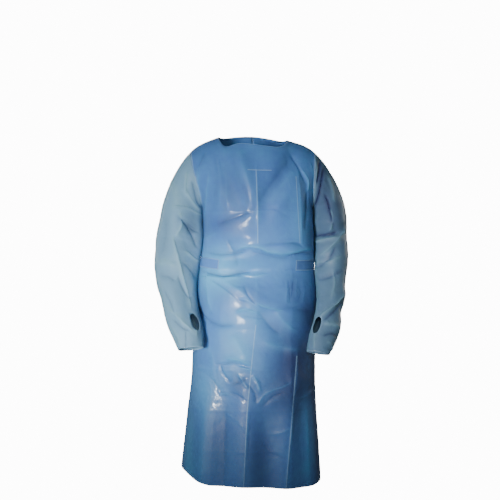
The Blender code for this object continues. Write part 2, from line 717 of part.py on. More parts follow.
def back_reach(x, z):
    """How far back the back's cloth lies below the underarm, at a place in the back view."""
    left, right = body_left(z), body_right(z)
    across = (2.0 * x - left - right) / (right - left)
    share = (1.0 - abs(across) ** SECTION_POWER) ** (1.0 / SECTION_POWER)
    return body_depth[False](z) * share + fold_height(BACK_FOLDS, x, z)


def knot_centre():
    """Middle of the bow's knot, on the outer side of the two ties' ends."""
    behind = body_point(math.pi, TIE_ROW + 0.5)
    off = 1.5 * WALL + TIE_GAP + SEAM_GAP + KNOT_SIZE.y / 2.0
    return Vector((behind.x, behind.y + off + KNOT_STANDOFF, behind.z))


def knot(name):
    """The knot: a rounded lump of gathered film with shallow pleats."""
    mesh = bmesh.new()
    bmesh.ops.create_cube(mesh, size=2.0)
    bmesh.ops.subdivide_edges(mesh, edges=mesh.edges[:], cuts=KNOT_CUTS, use_grid_fill=True)
    centre = knot_centre()
    for vert in mesh.verts:
        x, y, z = vert.co
        length = sum(abs(v) ** KNOT_POWER for v in (x, y, z)) ** (1.0 / KNOT_POWER)
        pleat = 1.0 + KNOT_PLEAT * math.cos(KNOT_PLEATS * math.pi * x / length)
        vert.co = centre + Vector(
            (
                x / length * KNOT_SIZE.x / 2.0,
                y / length * KNOT_SIZE.y / 2.0 * pleat,
                z / length * KNOT_SIZE.z / 2.0,
            )
        )
    return finished(name, mesh, TIE_FILM)


def strip(name, places):
    """A flat length of tie through rows of places, each with the slant that its width has."""
    middle = knot_centre()
    path = []
    for row in places:
        x, z = middle.x + row.x, middle.z + row.z
        path.append(Vector((x, back_reach(x, z) + row.off, z)))
    points, normals = [], []
    for i, row in enumerate(places):
        along = path[min(i + 1, len(path) - 1)] - path[max(i - 1, 0)]
        lean = math.radians(row.lean)
        across = Vector((math.sin(lean), 0.0, math.cos(lean)))
        across = (across - along * across.dot(along) / along.length_squared).normalized()
        normal = along.cross(across).normalized()
        curl = normal * STRIP_CURL * row.width
        for k in (-1.0, 0.0, 1.0):
            points.append(path[i] + across * k * row.width / 2.0 + curl * k * k)
            normals.append(normal)
    return wall(name, points, normals, grid_faces(len(path) - 1, 2), TIE_FILM)


def bow_rows(table, side):
    """The rows of a loop or tail, mirrored for the right side."""
    return [row._replace(x=row.x * side, lean=row.lean * side) for row in table]


def main():
    for old in list(bpy.data.objects):
        bpy.data.objects.remove(old)
    body_panel("front_panel", front_turns())
    body_panel("back_panel_left", back_turns(1))
    body_panel("back_panel_right", back_turns(-1))
    sleeve("sleeve_left", 1)
    sleeve("sleeve_right", -1)
    waist_tie("waist_tie_left", 1)
    waist_tie("waist_tie_right", -1)
    knot("bow_knot")
    for word, side in (("left", 1), ("right", -1)):
        strip("bow_loop_" + word, bow_rows(BOW_LOOP, side))
        strip("bow_tail_" + word, bow_rows(BOW_TAIL, side))


main()
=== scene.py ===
import math
from collections import namedtuple

import bmesh
import bpy
import numpy as np
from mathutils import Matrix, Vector
from mathutils import noise
from mathutils.kdtree import KDTree


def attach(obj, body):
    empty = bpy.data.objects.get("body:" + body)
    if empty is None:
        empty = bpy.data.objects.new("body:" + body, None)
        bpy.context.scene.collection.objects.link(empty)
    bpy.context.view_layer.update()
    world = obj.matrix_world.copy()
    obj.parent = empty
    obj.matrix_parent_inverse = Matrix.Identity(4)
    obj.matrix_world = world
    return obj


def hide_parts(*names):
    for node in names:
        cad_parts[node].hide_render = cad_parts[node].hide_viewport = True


bl_info = {
    "name": "Disposable gown",
    "version": (1, 0, 0),
    "blender": (4, 5, 0),
    "location": "View3D > Sidebar > Gown",
    "description": "Dresses a disposable film gown: creased panels, sleeves, waist ties, bow and its stage",
    "category": "Object",
}

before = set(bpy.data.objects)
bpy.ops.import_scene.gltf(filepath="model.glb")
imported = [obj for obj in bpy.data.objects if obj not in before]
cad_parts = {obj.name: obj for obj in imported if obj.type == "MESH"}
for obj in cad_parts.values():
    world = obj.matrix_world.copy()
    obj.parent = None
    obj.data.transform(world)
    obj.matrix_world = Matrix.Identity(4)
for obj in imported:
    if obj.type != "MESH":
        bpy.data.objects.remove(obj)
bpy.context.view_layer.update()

# Panels of film that are joined along welded seams
PANELS = ("front_panel", "back_panel_left", "back_panel_right", "sleeve_left", "sleeve_right")
FRONT, BACK_LEFT, BACK_RIGHT, SLEEVE_LEFT, SLEEVE_RIGHT = range(len(PANELS))
TIES = ("waist_tie_left", "waist_tie_right")
BOW = ("bow_knot", "bow_loop_left", "bow_loop_right", "bow_tail_left", "bow_tail_right")

# Holds the crumples' noise still, which would otherwise start from the clock at each run
NOISE_SEED = 1

# A crease, all in millimetres: its height (below zero is a trough), its width on the left and on the
# right of its path, and the path as (x, z) on the body and the sleeves
Crease = namedtuple("Crease", "height left right path")

FRONT_CREASES = [
    Crease(1.5, 12, 8, ((-50, -41), (-41, -91), (-31, -121), (-16, -161), (2, -198))),
    Crease(1.0, 10, 5, ((2, -198), (9, -232), (9, -275))),
    Crease(-2.4, 9, 16, ((116, -69), (86, -112), (52, -158), (12, -217))),
    Crease(1.3, 14, 5, ((129, -109), (92, -146), (39, -217))),
    Crease(-1.1, 8, 6, ((-75, -54), (-59, -115), (-28, -195), (-13, -245))),
    Crease(1.3, 5, 2.5, ((2, -84), (6, -208), (9, -349))),
    Crease(1.6, 5, 2.5, ((129, -103), (138, -177), (141, -238), (144, -349))),
    Crease(-0.8, 5, 5, ((-19, -118), (55, -115))),
    Crease(0.8, 4, 3, ((-47, -245), (61, -241))),
    Crease(-0.8, 5, 3, ((52, -232), (79, -245), (104, -260))),
    Crease(0.9, 3, 3, ((-111, -84), (-108, -161), (-111, -238))),
    Crease(0.8, 4, 2, ((-90, -121), (-87, -226))),
    Crease(-0.9, 4, 4, ((-127, -60), (-118, -115), (-127, -208))),
    Crease(4.0, 6, 4, ((141, -106), (153, -124), (166, -149), (163, -183))),
    Crease(-4.0, 6, 5, ((110, -60), (126, -87), (141, -115), (156, -149))),
    Crease(-3.0, 5, 7, ((163, -177), (163, -232), (156, -300))),
    Crease(2.6, 4, 4, ((175, -91), (184, -134), (184, -192))),
    Crease(-3.0, 6, 5, ((-155, -51), (-170, -78), (-179, -100))),
    Crease(2.4, 5, 4, ((-142, -118), (-152, -195), (-161, -269))),
    Crease(3.0, 5, 7, ((-179, -109), (-176, -161), (-167, -226))),
    Crease(-3.2, 10, 12, ((-121, -282), (-62, -260), (6, -235))),
    Crease(1.6, 5, 4, ((-164, -331), (-142, -318), (-118, -309))),
    Crease(-2.6, 4, 7, ((21, -342), (76, -339), (129, -338), (150, -355))),
    Crease(4.6, 9, 3.5, ((-56, -362), (-38, -355), (-13, -351), (18, -357),
                         (43, -368), (104, -375))),
    Crease(-4.0, 6, 5, ((-152, -368), (-105, -375), (-50, -369), (-22, -362))),
    Crease(-3.0, 4, 7, ((-10, -368), (21, -374), (52, -383), (107, -392))),
    Crease(4.2, 7, 3, ((95, -371), (126, -368), (150, -362), (178, -362))),
    Crease(-5.0, 3, 6, ((101, -380), (138, -372), (175, -372))),
    Crease(-2.8, 10, 10, ((-90, -325), (-68, -368), (-50, -417))),
    Crease(-1.5, 5, 5, ((129, -380), (130, -420))),
    Crease(-5.6, 5, 4, ((-170, -428), (-136, -434), (-96, -440), (-47, -432), (-16, -426))),
    Crease(4.4, 4, 8, ((-170, -442), (-133, -446), (-102, -449), (-38, -445))),
    Crease(3.0, 5, 3, ((-41, -439), (2, -443), (39, -436))),
    Crease(2.8, 6, 16, ((-161, -445), (-108, -476), (-50, -519))),
    Crease(-2.2, 10, 12, ((-136, -451), (-78, -491), (-28, -534))),
    Crease(2.2, 10, 10, ((-102, -460), (-59, -479), (-10, -516))),
    Crease(-2.6, 5, 5, ((-34, -466), (-22, -500), (6, -531))),
    Crease(4.0, 5, 3, ((2, -525), (30, -536), (64, -545), (89, -549))),
    Crease(3.8, 4, 4, ((-59, -553), (-31, -545), (2, -554))),
    Crease(2.2, 5, 4, ((-53, -511), (-25, -516), (6, -534))),
    Crease(-2.0, 4, 5, ((-47, -562), (-16, -565), (21, -571))),
    Crease(-4.2, 5, 6, ((-185, -525), (-167, -559), (-139, -582), (-105, -593), (-65, -590))),
    Crease(2.4, 12, 6, ((-152, -460), (-145, -516), (-133, -559))),
    Crease(1.2, 3, 5, ((4, -399), (6, -516), (2, -654))),
    Crease(-3.0, 12, 10, ((9, -546), (46, -596), (76, -617))),
    Crease(2.6, 10, 10, ((64, -549), (89, -583), (126, -614))),
    Crease(-1.8, 10, 12, ((64, -531), (123, -543), (181, -553))),
    Crease(2.6, 14, 10, ((21, -639), (61, -657), (138, -670))),
    Crease(-1.4, 2.5, 3, ((104, -454), (107, -485), (109, -525))),
    Crease(1.2, 2.5, 2.5, ((95, -451), (98, -488), (95, -528))),
    Crease(-1.3, 3, 2.5, ((120, -448), (116, -479), (113, -516))),
    Crease(1.3, 2.5, 2.5, ((129, -445), (126, -476), (126, -506))),
    Crease(-1.6, 3, 3, ((89, -425), (110, -419), (132, -423))),
    Crease(-1.1, 3, 3, ((138, -472), (141, -500), (129, -525))),
    Crease(1.1, 3, 3, ((147, -457), (153, -491), (144, -528))),
    Crease(-1.6, 3, 4, ((95, -528), (113, -537), (138, -531))),
    Crease(3.6, 6, 3, ((-90, -694), (-50, -699), (-13, -713))),
    Crease(-2.4, 3, 4, ((-121, -713), (-71, -708), (-16, -720))),
    Crease(2.6, 4, 4, ((-47, -720), (-28, -724), (-7, -728))),
    Crease(-2.2, 4, 4, ((-108, -713), (-96, -744), (-75, -765))),
    Crease(2.6, 5, 4, ((-53, -740), (-38, -762), (-22, -787))),
    Crease(-2.2, 4, 4, ((-75, -777), (-50, -765), (-25, -750))),
    Crease(2.8, 4, 4, ((-7, -744), (6, -765), (15, -793))),
    Crease(-2.4, 4, 4, ((-16, -774), (-1, -799), (2, -830))),
    Crease(-1.8, 5, 4, ((-84, -799), (-53, -805), (-28, -824))),
    Crease(2.2, 3, 3, ((-111, -805), (-90, -802), (-71, -804))),
    Crease(2.4, 4, 4, ((9, -830), (27, -805), (52, -790), (83, -780), (113, -765))),
    Crease(-1.8, 4, 5, ((21, -839), (52, -811), (89, -796))),
    Crease(2.6, 20, 20, ((-71, -623), (-47, -660), (-28, -700))),
    Crease(1.6, 8, 8, ((-152, -654), (-133, -688), (-127, -737))),
    Crease(-1.4, 6, 6, ((-161, -737), (-127, -765), (-102, -808))),
    Crease(1.9, 5, 2.5, ((-19, -817), (-25, -901), (-31, -993), (-41, -1101))),
    Crease(1.6, 5, 2.5, ((129, -676), (126, -756), (118, -830))),
    Crease(2.0, 5, 2.5, ((118, -824), (110, -922), (101, -1008), (92, -1101))),
    Crease(-1.2, 3, 6, ((-10, -817), (-16, -901), (-22, -993), (-31, -1101))),
    Crease(1.4, 4, 4, ((39, -922), (73, -922), (116, -904))),
    Crease(1.4, 5, 5, ((123, -824), (153, -814), (184, -802))),
    Crease(-2.4, 10, 26, ((-90, -839), (-93, -947), (-99, -1101))),
    Crease(2.6, 26, 18, ((-148, -808), (-161, -947), (-170, -1101))),
    Crease(2.4, 12, 12, ((156, -824), (163, -947), (166, -1101))),
    Crease(1.0, 4, 4, ((-90, -861), (-53, -885), (-25, -919))),
    Crease(-1.2, 6, 6, ((21, -947), (52, -984), (98, -1002))),
]

RIGHT_SLEEVE_CREASES = [
    Crease(3.2, 5, 4, ((-214, -117), (-217, -155), (-217, -186))),
    Crease(-3.6, 6, 6, ((-198, -145), (-189, -183), (-176, -227))),
    Crease(2.4, 5, 5, ((-217, -173), (-201, -202), (-179, -236))),
    Crease(3.8, 5, 3.5, ((-261, -224), (-236, -225), (-211, -230), (-176, -249))),
    Crease(-4.6, 5, 9, ((-242, -255), (-217, -280), (-182, -305))),
    Crease(2.8, 5, 5, ((-236, -242), (-233, -286), (-248, -318))),
    Crease(-3.0, 6, 6, ((-217, -280), (-198, -318), (-185, -355))),
    Crease(3.4, 3, 6, ((-258, -318), (-242, -380), (-220, -462), (-198, -537))),
    Crease(-3.6, 7, 6, ((-239, -443), (-223, -481), (-201, -518))),
    Crease(3.0, 5, 5, ((-223, -365), (-198, -387), (-173, -406))),
    Crease(-2.2, 8, 8, ((-226, -399), (-204, -424), (-185, -456))),
    Crease(2.0, 10, 8, ((-305, -402), (-273, -399), (-251, -412))),
    Crease(-2.0, 8, 8, ((-298, -440), (-273, -443), (-248, -456))),
    Crease(2.6, 6, 4, ((-280, -528), (-245, -559), (-214, -588), (-185, -616))),
    Crease(-2.6, 5, 5, ((-251, -575), (-223, -597), (-195, -606))),
    Crease(2.2, 4, 4, ((-195, -553), (-182, -588), (-179, -625))),
    Crease(-2.2, 4, 4, ((-283, -487), (-261, -525), (-242, -569))),
    Crease(1.8, 4, 4, ((-254, -600), (-236, -625), (-226, -657))),
    Crease(-2.0, 3, 3, ((-211, -609), (-211, -638), (-214, -666))),
    Crease(2.0, 10, 10, ((-267, -142), (-248, -189), (-248, -220))),
    Crease(-1.6, 10, 10, ((-280, -252), (-283, -315), (-292, -377))),
]

LEFT_SLEEVE_CREASES = [
    Crease(3.4, 4, 4, ((191, -73), (194, -117), (188, -180), (185, -230))),
    Crease(-3.8, 5, 5, ((204, -79), (201, -117), (191, -155))),
    Crease(-3.0, 4, 4, ((219, -98), (207, -155), (188, -236))),
    Crease(2.8, 5, 5, ((229, -123), (241, -161), (251, -211))),
    Crease(-3.4, 5, 5, ((219, -186), (235, -236), (248, -293))),
    Crease(3.2, 4, 3, ((238, -230), (244, -267), (238, -305))),
    Crease(-4.2, 4, 7, ((197, -315), (222, -313), (257, -305))),
    Crease(3.4, 6, 4, ((185, -340), (219, -330), (263, -321))),
    Crease(3.0, 6, 5, ((292, -286), (260, -330), (210, -377))),
    Crease(-2.4, 6, 6, ((254, -349), (235, -387), (197, -418))),
    Crease(2.2, 8, 8, ((197, -399), (229, -399), (270, -380))),
    Crease(-2.0, 7, 7, ((204, -456), (238, -443), (276, -424))),
    Crease(3.2, 5, 4, ((285, -493), (254, -525), (216, -553), (191, -575))),
    Crease(-3.0, 4, 6, ((279, -518), (248, -547), (210, -575))),
    Crease(2.4, 4, 4, ((197, -572), (185, -606), (179, -657))),
    Crease(2.6, 7, 6, ((210, -588), (238, -588), (263, -603))),
    Crease(-2.6, 5, 5, ((207, -622), (232, -616), (257, -631))),
    Crease(1.8, 5, 5, ((219, -638), (235, -653), (235, -675))),
    Crease(-2.0, 5, 5, ((182, -431), (197, -471), (207, -518))),
    Crease(1.8, 5, 5, ((244, -424), (248, -468), (235, -512))),
]

# The hidden back, in the manner of the front: drawn in under the tie, long hanging creases below
BACK_CREASES = [
    Crease(2.6, 8, 5, ((-80, -60), (-70, -160), (-50, -260))),
    Crease(-2.4, 7, 9, ((90, -60), (75, -150), (45, -240))),
    Crease(2.2, 6, 4, ((130, -110), (110, -220), (105, -330))),
    Crease(-2.6, 6, 6, ((-150, -130), (-120, -230), (-110, -320))),
    Crease(3.8, 8, 4, ((-160, -372), (-110, -366), (-60, -370), (-20, -376))),
    Crease(3.6, 8, 4, ((30, -374), (80, -366), (120, -370), (165, -364))),
    Crease(-4.0, 5, 5, ((-150, -440), (-90, -446), (-30, -440))),
    Crease(-4.0, 5, 5, ((30, -442), (90, -450), (155, -438))),
    Crease(3.0, 5, 9, ((-140, -452), (-100, -500), (-80, -560))),
    Crease(3.0, 9, 5, ((120, -454), (100, -510), (75, -580))),
    Crease(-2.6, 7, 7, ((-60, -455), (-58, -540), (-66, -640))),
    Crease(-2.6, 7, 7, ((65, -455), (58, -530), (50, -620))),
    Crease(2.6, 4, 4, ((-45, -450), (-36, -520), (-40, -600))),
    Crease(2.4, 4, 4, ((150, -450), (140, -510), (145, -590))),
    Crease(2.0, 5, 2.5, ((-100, -560), (-104, -760), (-110, -930), (-112, -1101))),
    Crease(2.0, 2.5, 5, ((110, -580), (112, -760), (104, -930), (100, -1101))),
    Crease(-2.4, 12, 20, ((-60, -700), (-62, -900), (-64, -1101))),
    Crease(-2.4, 20, 12, ((60, -700), (66, -900), (66, -1101))),
    Crease(2.4, 20, 16, ((-150, -650), (-156, -860), (-160, -1101))),
    Crease(2.4, 16, 20, ((152, -650), (158, -860), (160, -1101))),
    Crease(1.4, 4, 4, ((-150, -820), (-90, -826), (-30, -816))),
    Crease(1.4, 4, 4, ((30, -700), (90, -710), (150, -698))),
    Crease(1.2, 4, 4, ((30, -940), (90, -934), (150, -942))),
]

# Soft patches of painted tone on the front: middle, half width and half height in metres, and how strong it
# is.
# The deep patches are painted shade, and the pale patches are painted light
Patch = namedtuple("Patch", "x z wide high amount")
PAINTED_SHADE_PATCHES = [
    Patch(-0.020, -0.190, 0.120, 0.100, 0.32),
    Patch(-0.085, -0.180, 0.050, 0.110, 0.25),
    Patch(-0.090, -0.290, 0.080, 0.030, 0.32),
    Patch(0.075, -0.130, 0.025, 0.050, 0.25),
    Patch(0.122, -0.460, 0.048, 0.060, 0.25),
    Patch(0.118, -0.490, 0.016, 0.040, 0.35),
    Patch(0.165, -0.570, 0.036, 0.090, 0.75),
    Patch(-0.172, -0.565, 0.014, 0.055, 0.60),
    Patch(0.118, -0.690, 0.066, 0.110, 0.92),
    Patch(0.105, -0.800, 0.085, 0.100, 0.70),
    Patch(-0.204, -0.270, 0.018, 0.060, 0.35),
    Patch(0.070, -0.960, 0.090, 0.150, 0.08),
    Patch(0.014, -1.010, 0.048, 0.170, 0.62),
    Patch(-0.130, -0.950, 0.110, 0.130, 0.44),
    Patch(-0.040, -0.500, 0.110, 0.040, 0.26),
    Patch(-0.045, -0.770, 0.035, 0.035, 0.48),
    Patch(0.208, -0.900, 0.020, 0.320, 0.90),
]
PAINTED_LIGHT_PATCHES = [
    Patch(-0.115, -0.425, 0.080, 0.075, 0.85),
    Patch(-0.150, -0.790, 0.050, 0.060, 0.45),
    Patch(-0.208, -1.000, 0.020, 0.140, 0.60),
    Patch(-0.062, -0.660, 0.070, 0.110, 0.45),
    Patch(0.020, -0.420, 0.080, 0.060, 0.25),
    Patch(0.145, -0.280, 0.030, 0.070, 0.30),
    Patch(-0.020, -0.560, 0.050, 0.030, 0.30),
]

# Thin lines that the packing pressed into the front, each from (x0, z0) to (x1, z1)
Line = namedtuple("Line", "x0 z0 x1 z1")
PRESSED_LINES = [
    Line(0.003, -0.115, 0.007, -0.226),
    Line(0.007, -0.226, 0.008, -0.339),
    Line(-0.022, -0.114, 0.050, -0.115),
    Line(0.127, -0.134, 0.139, -0.339),
    Line(0.002, -0.592, -0.013, -0.730),
    Line(-0.013, -0.730, -0.025, -0.860),
    Line(-0.025, -0.860, -0.036, -1.100),
    Line(0.128, -0.688, 0.094, -1.100),
]

# How far in millimetres each sleeve's inner side leans to the body, by height
Lean = namedtuple("Lean", "z right left")
LEANS = [
    Lean(-0.20, 0.0, 0.0),
    Lean(-0.23, 4.6, 5.4),
    Lean(-0.26, 4.8, 1.5),
    Lean(-0.30, 3.0, 1.3),
    Lean(-0.34, 2.0, 1.5),
    Lean(-0.37, 5.4, 3.8),
    Lean(-0.39, 4.5, 4.8),
    Lean(-0.41, 2.8, 3.3),
    Lean(-0.43, 3.8, 6.4),
    Lean(-0.45, 2.8, 5.2),
    Lean(-0.48, 4.2, 6.4),
    Lean(-0.51, 2.4, 9.5),
    Lean(-0.54, 0.0, 4.0),
    Lean(-0.58, 0.0, 0.0),
]

# How high the small crumples of the ties, the bow and its knot stand, and how many there are to a metre
TIE_CRUMPLE = 0.0004
BOW_CRUMPLE = 0.0005
KNOT_CRUMPLE = 0.0009
STRIP_CRUMPLES = 22.0
KNOT_CRUMPLES = 70.0
# How strong the painted shade on the front of the left tie is
LEFT_TIE_PAINTED_SHADE = 0.45

# The packing folds pressed into the film: their heights (z) across the body
PACKING_FOLDS = (-0.118, -0.243, -0.352, -0.480, -0.605, -0.730, -0.855, -0.980)
TIE_BAND = (-0.442, -0.380)

# The film is cut finer where a crease rises by more than this over one cell, in metres, cut after cut
CREASE_STEPS = (0.00072, 0.00170)

# The soft fold down each side of the back, behind the sleeve: how far it stands out, how much more it
# does at the tie, where the tie and the fold's middle lie, and how far each reaches
SIDE_FOLD = 0.013
SIDE_FOLD_AT_TIE = 0.0025
SIDE_FOLD_TIE_HEIGHT = -0.408
SIDE_FOLD_TIE_REACH = 0.030
SIDE_FOLD_DEPTH = 0.046
SIDE_FOLD_REACH = 0.017

# Heights of the raised lines in the film, and how far each reaches to its sides
PACKING_FOLD_REACH = 0.004
SEAM_RIDGE = 0.0004
SEAM_RIDGE_REACH = 0.0022
TIE_BAND_EDGE = 0.006

# Creases rise and fall no further than this, and the painted highlight on their ridges and the painted shade
# in their troughs are full at RIDGE_FULL
CREASE_LIMITS = (-0.008, 0.0075)
RIDGE_FULL = 0.004
SLEEVE_CREASE_FACTOR = 1.5
SLEEVE_BACK_FACTOR = 0.9
SLEEVE_BACK_SHIFT = 0.021

# Tone of the sleeves: how much of their own paler colour both take, and how much painted shade the left one
# has at the top and loses lower down
SLEEVE_PALE = 0.80
LEFT_SLEEVE_PAINTED_SHADE = 0.72
LEFT_SLEEVE_LESS = 0.20

# Colours of the film: the pale tone that its clouding drifts to and painted light mixes to, the painted
# shade, the painted rim light and the pressed lines
PALE_CLOUD_AND_PAINTED_LIGHT_COLOUR = (0.100, 0.360, 0.620)
PAINTED_SHADE_COLOUR = (0.020, 0.028, 0.092)
PAINTED_RIM_LIGHT_COLOUR = (0.160, 0.400, 0.480)
LINE_COLOUR = (0.300, 0.480, 0.660)

# CAD skins: edges shorter than this belong to a wall's rim, seams closer than this are welded, and
# the body's rows below the underarm are cut once where they are longer than this
RIM_EDGE = 0.0015
SEAM_GAP = 0.0017
UNDERARM = -0.225
LONGEST_ROW = 0.0245
SAME_POINT = 0.00001


class GownFilm(bpy.types.PropertyGroup):
    body_colour: bpy.props.FloatVectorProperty(
        name="Body film", description="Colour of the film of the front and the back", subtype="COLOR",
        size=3, min=0.0, max=1.0, default=(0.066, 0.168, 0.450))
    sleeve_colour: bpy.props.FloatVectorProperty(
        name="Sleeve film", description="Colour of the film of the sleeves", subtype="COLOR",
        size=3, min=0.0, max=1.0, default=(0.200, 0.375, 0.500))
    tie_colour: bpy.props.FloatVectorProperty(
        name="Tie film", description="Colour of the ties and the bow", subtype="COLOR",
        size=3, min=0.0, max=1.0, default=(0.066, 0.165, 0.430))
    roughness: bpy.props.FloatProperty(
        name="Roughness", description="Roughness of the film's surface", min=0.0, max=1.0, default=0.48)
    wall: bpy.props.FloatProperty(
        name="Film wall", description="Thickness that the film is given", subtype="DISTANCE",
        unit="LENGTH", min=0.0001, max=0.002, default=0.0004)
    levels: bpy.props.IntProperty(
        name="Smoothing levels", description="Subdivision levels of the panels", min=0, max=3, default=2)


class GownCreasing(bpy.types.PropertyGroup):
    main: bpy.props.FloatProperty(
        name="Main creases", description="Height of the placed creases against their table", default=1.0)
    crumple: bpy.props.FloatProperty(
        name="Crumple", description="Height of the small crumples all over the film", subtype="DISTANCE",
        unit="LENGTH", default=0.0011)
    packing: bpy.props.FloatProperty(
        name="Packing folds", description="Height of the pressed packing folds", subtype="DISTANCE",
        unit="LENGTH", default=0.0007)


class GownStage(bpy.types.PropertyGroup):
    floor_height: bpy.props.FloatProperty(
        name="Floor height", description="Height of the floor under the hem", subtype="DISTANCE",
        unit="LENGTH", default=-1.5)
    key_power: bpy.props.FloatProperty(
        name="Key light", description="Power of the key light", subtype="POWER", unit="POWER", default=4.4)
    sheen_power: bpy.props.FloatProperty(
        name="Sheen light", description="Power of the light that draws the gloss on the folds",
        subtype="POWER", unit="POWER", default=1.6)
    fill_power: bpy.props.FloatProperty(
        name="Fill light", description="Power of the fill light", subtype="POWER", unit="POWER", default=1.3)
    surround: bpy.props.FloatProperty(
        name="Surround", description="Strength of the light from the surround", default=0.05)


# Shader groups

def new_group(name, inputs, outputs):
    """Makes a shader node group with float or colour sockets, and returns it with its two ends."""
    group = bpy.data.node_groups.new(name, "ShaderNodeTree")
    for kind, rows in (("INPUT", inputs), ("OUTPUT", outputs)):
        for socket_name, socket_type, value in rows:
            socket = group.interface.new_socket(name=socket_name, in_out=kind, socket_type=socket_type)
            if value is not None:
                socket.default_value = value
    return group, group.nodes.new("NodeGroupInput"), group.nodes.new("NodeGroupOutput")


def node(tree, kind, **values):
    made = tree.nodes.new(kind)
    for name, value in values.items():
        if name in made.inputs:
            made.inputs[name].default_value = value
        else:
            setattr(made, name, value)
    return made


def maths(tree, operation, a, b):
    """A Math node of two values or sockets."""
    made = node(tree, "ShaderNodeMath", operation=operation)
    for place, value in enumerate((a, b)):
        if isinstance(value, (int, float)):
            made.inputs[place].default_value = value
        else:
            tree.links.new(value, made.inputs[place])
    return made.outputs[0]


def ranged(tree, value, low, high, to_low, to_high):
    made = node(tree, "ShaderNodeMapRange")
    tree.links.new(value, made.inputs["Value"])
    for name, number in (("From Min", low), ("From Max", high), ("To Min", to_low), ("To Max", to_high)):
        made.inputs[name].default_value = number
    return made.outputs["Result"]


def mixed(tree, factor, first, second):
    """A colour Mix node of two colours or sockets."""
    made = node(tree, "ShaderNodeMix", data_type="RGBA", blend_type="MIX")
    tree.links.new(factor, made.inputs[0])
    for place, value in ((6, first), (7, second)):
        if isinstance(value, bpy.types.NodeSocket):
            tree.links.new(value, made.inputs[place])
        else:
            made.inputs[place].default_value = (*value, 1.0)
    return made.outputs[2]


def clouding_group():
    """Cloudy thick and thin places in blown film: a colour that drifts round the base colour."""
    name = "film_clouding"
    if name in bpy.data.node_groups:
        return bpy.data.node_groups[name]
    group, entry, leave = new_group(
        name,
        [("Colour", "NodeSocketColor", (0.2, 0.35, 0.5, 1.0)),
         ("Pale", "NodeSocketColor", (0.6, 0.7, 0.8, 1.0)),
         ("Amount", "NodeSocketFloat", 0.25)],
        [("Colour", "NodeSocketColor", None), ("Cloud", "NodeSocketFloat", None)])
    place = node(group, "ShaderNodeTexCoord")
    broad = node(group, "ShaderNodeTexNoise", Scale=7.0, Detail=4.0, Roughness=0.6, Distortion=0.6)
    fine = node(group, "ShaderNodeTexNoise", Scale=60.0, Detail=5.0, Roughness=0.65)
    for texture in (broad, fine):
        group.links.new(place.outputs["Object"], texture.inputs["Vector"])
    drift = ranged(group, broad.outputs["Fac"], 0.35, 0.68, 0.0, 1.0)
    speck = ranged(group, fine.outputs["Fac"], 0.40, 0.66, 0.0, 1.0)
    cloud = maths(group, "ADD", maths(group, "MULTIPLY", drift, 0.7), maths(group, "MULTIPLY", speck, 0.3))
    share = maths(group, "MULTIPLY", cloud, entry.outputs["Amount"])
    tone = mixed(group, share, entry.outputs["Colour"], entry.outputs["Pale"])
    group.links.new(tone, leave.inputs["Colour"])
    group.links.new(cloud, leave.inputs["Cloud"])
    return group


def crinkle_group():
    """Fine crinkle of thin film: sharp little ridges between flat facets, as a height."""
    name = "film_crinkle"
    if name in bpy.data.node_groups:
        return bpy.data.node_groups[name]
    group, entry, leave = new_group(
        name, [("Scale", "NodeSocketFloat", 90.0)], [("Height", "NodeSocketFloat", None)])
    place = node(group, "ShaderNodeTexCoord")
    bend = node(group, "ShaderNodeTexNoise", Scale=14.0, Detail=2.0)
    group.links.new(place.outputs["Object"], bend.inputs["Vector"])
    spread = node(group, "ShaderNodeVectorMath", operation="SCALE", Scale=0.05)
    group.links.new(bend.outputs["Color"], spread.inputs[0])
    bent = node(group, "ShaderNodeVectorMath", operation="ADD")
    group.links.new(place.outputs["Object"], bent.inputs[0])
    group.links.new(spread.outputs[0], bent.inputs[1])
    total = None
    for times, weight in ((1.0, 0.6), (2.3, 0.3), (0.4, 0.8)):
        cells = node(group, "ShaderNodeTexVoronoi", feature="DISTANCE_TO_EDGE")
        group.links.new(bent.outputs[0], cells.inputs["Vector"])
        group.links.new(maths(group, "MULTIPLY", entry.outputs["Scale"], times), cells.inputs["Scale"])
        part = maths(group, "MULTIPLY", cells.outputs["Distance"], weight)
        total = part if total is None else maths(group, "ADD", total, part)
    group.links.new(total, leave.inputs["Height"])
    return group


def pressed_lines_group():
    """Thin pressed lines on the front: 1 on a line, fading to 0 beside it."""
    name = "pressed_lines"
    if name in bpy.data.node_groups:
        return bpy.data.node_groups[name]
    group, entry, leave = new_group(
        name, [("Width", "NodeSocketFloat", 0.0022)], [("Line", "NodeSocketFloat", None)])
    place = node(group, "ShaderNodeTexCoord")
    flat = node(group, "ShaderNodeVectorMath", operation="MULTIPLY")
    flat.inputs[1].default_value = (1.0, 0.0, 1.0)
    group.links.new(place.outputs["Object"], flat.inputs[0])
    nearest = None
    for line in PRESSED_LINES:
        along = Vector((line.x1 - line.x0, 0.0, line.z1 - line.z0))
        start = node(group, "ShaderNodeVectorMath", operation="SUBTRACT")
        start.inputs[1].default_value = (line.x0, 0.0, line.z0)
        group.links.new(flat.outputs[0], start.inputs[0])
        share = node(group, "ShaderNodeVectorMath", operation="DOT_PRODUCT")
        share.inputs[1].default_value = along / along.length_squared
        group.links.new(start.outputs[0], share.inputs[0])
        held = node(group, "ShaderNodeClamp")
        group.links.new(share.outputs["Value"], held.inputs["Value"])
        foot = node(group, "ShaderNodeVectorMath", operation="SCALE")
        foot.inputs[0].default_value = along
        group.links.new(held.outputs[0], foot.inputs["Scale"])
        apart = node(group, "ShaderNodeVectorMath", operation="DISTANCE")
        group.links.new(start.outputs[0], apart.inputs[0])
        group.links.new(foot.outputs[0], apart.inputs[1])
        value = apart.outputs["Value"]
        nearest = value if nearest is None else maths(group, "MINIMUM", nearest, value)
    faded = maths(group, "DIVIDE", nearest, entry.outputs["Width"])
    group.links.new(ranged(group, faded, 0.3, 1.0, 1.0, 0.0), leave.inputs["Line"])
    return group


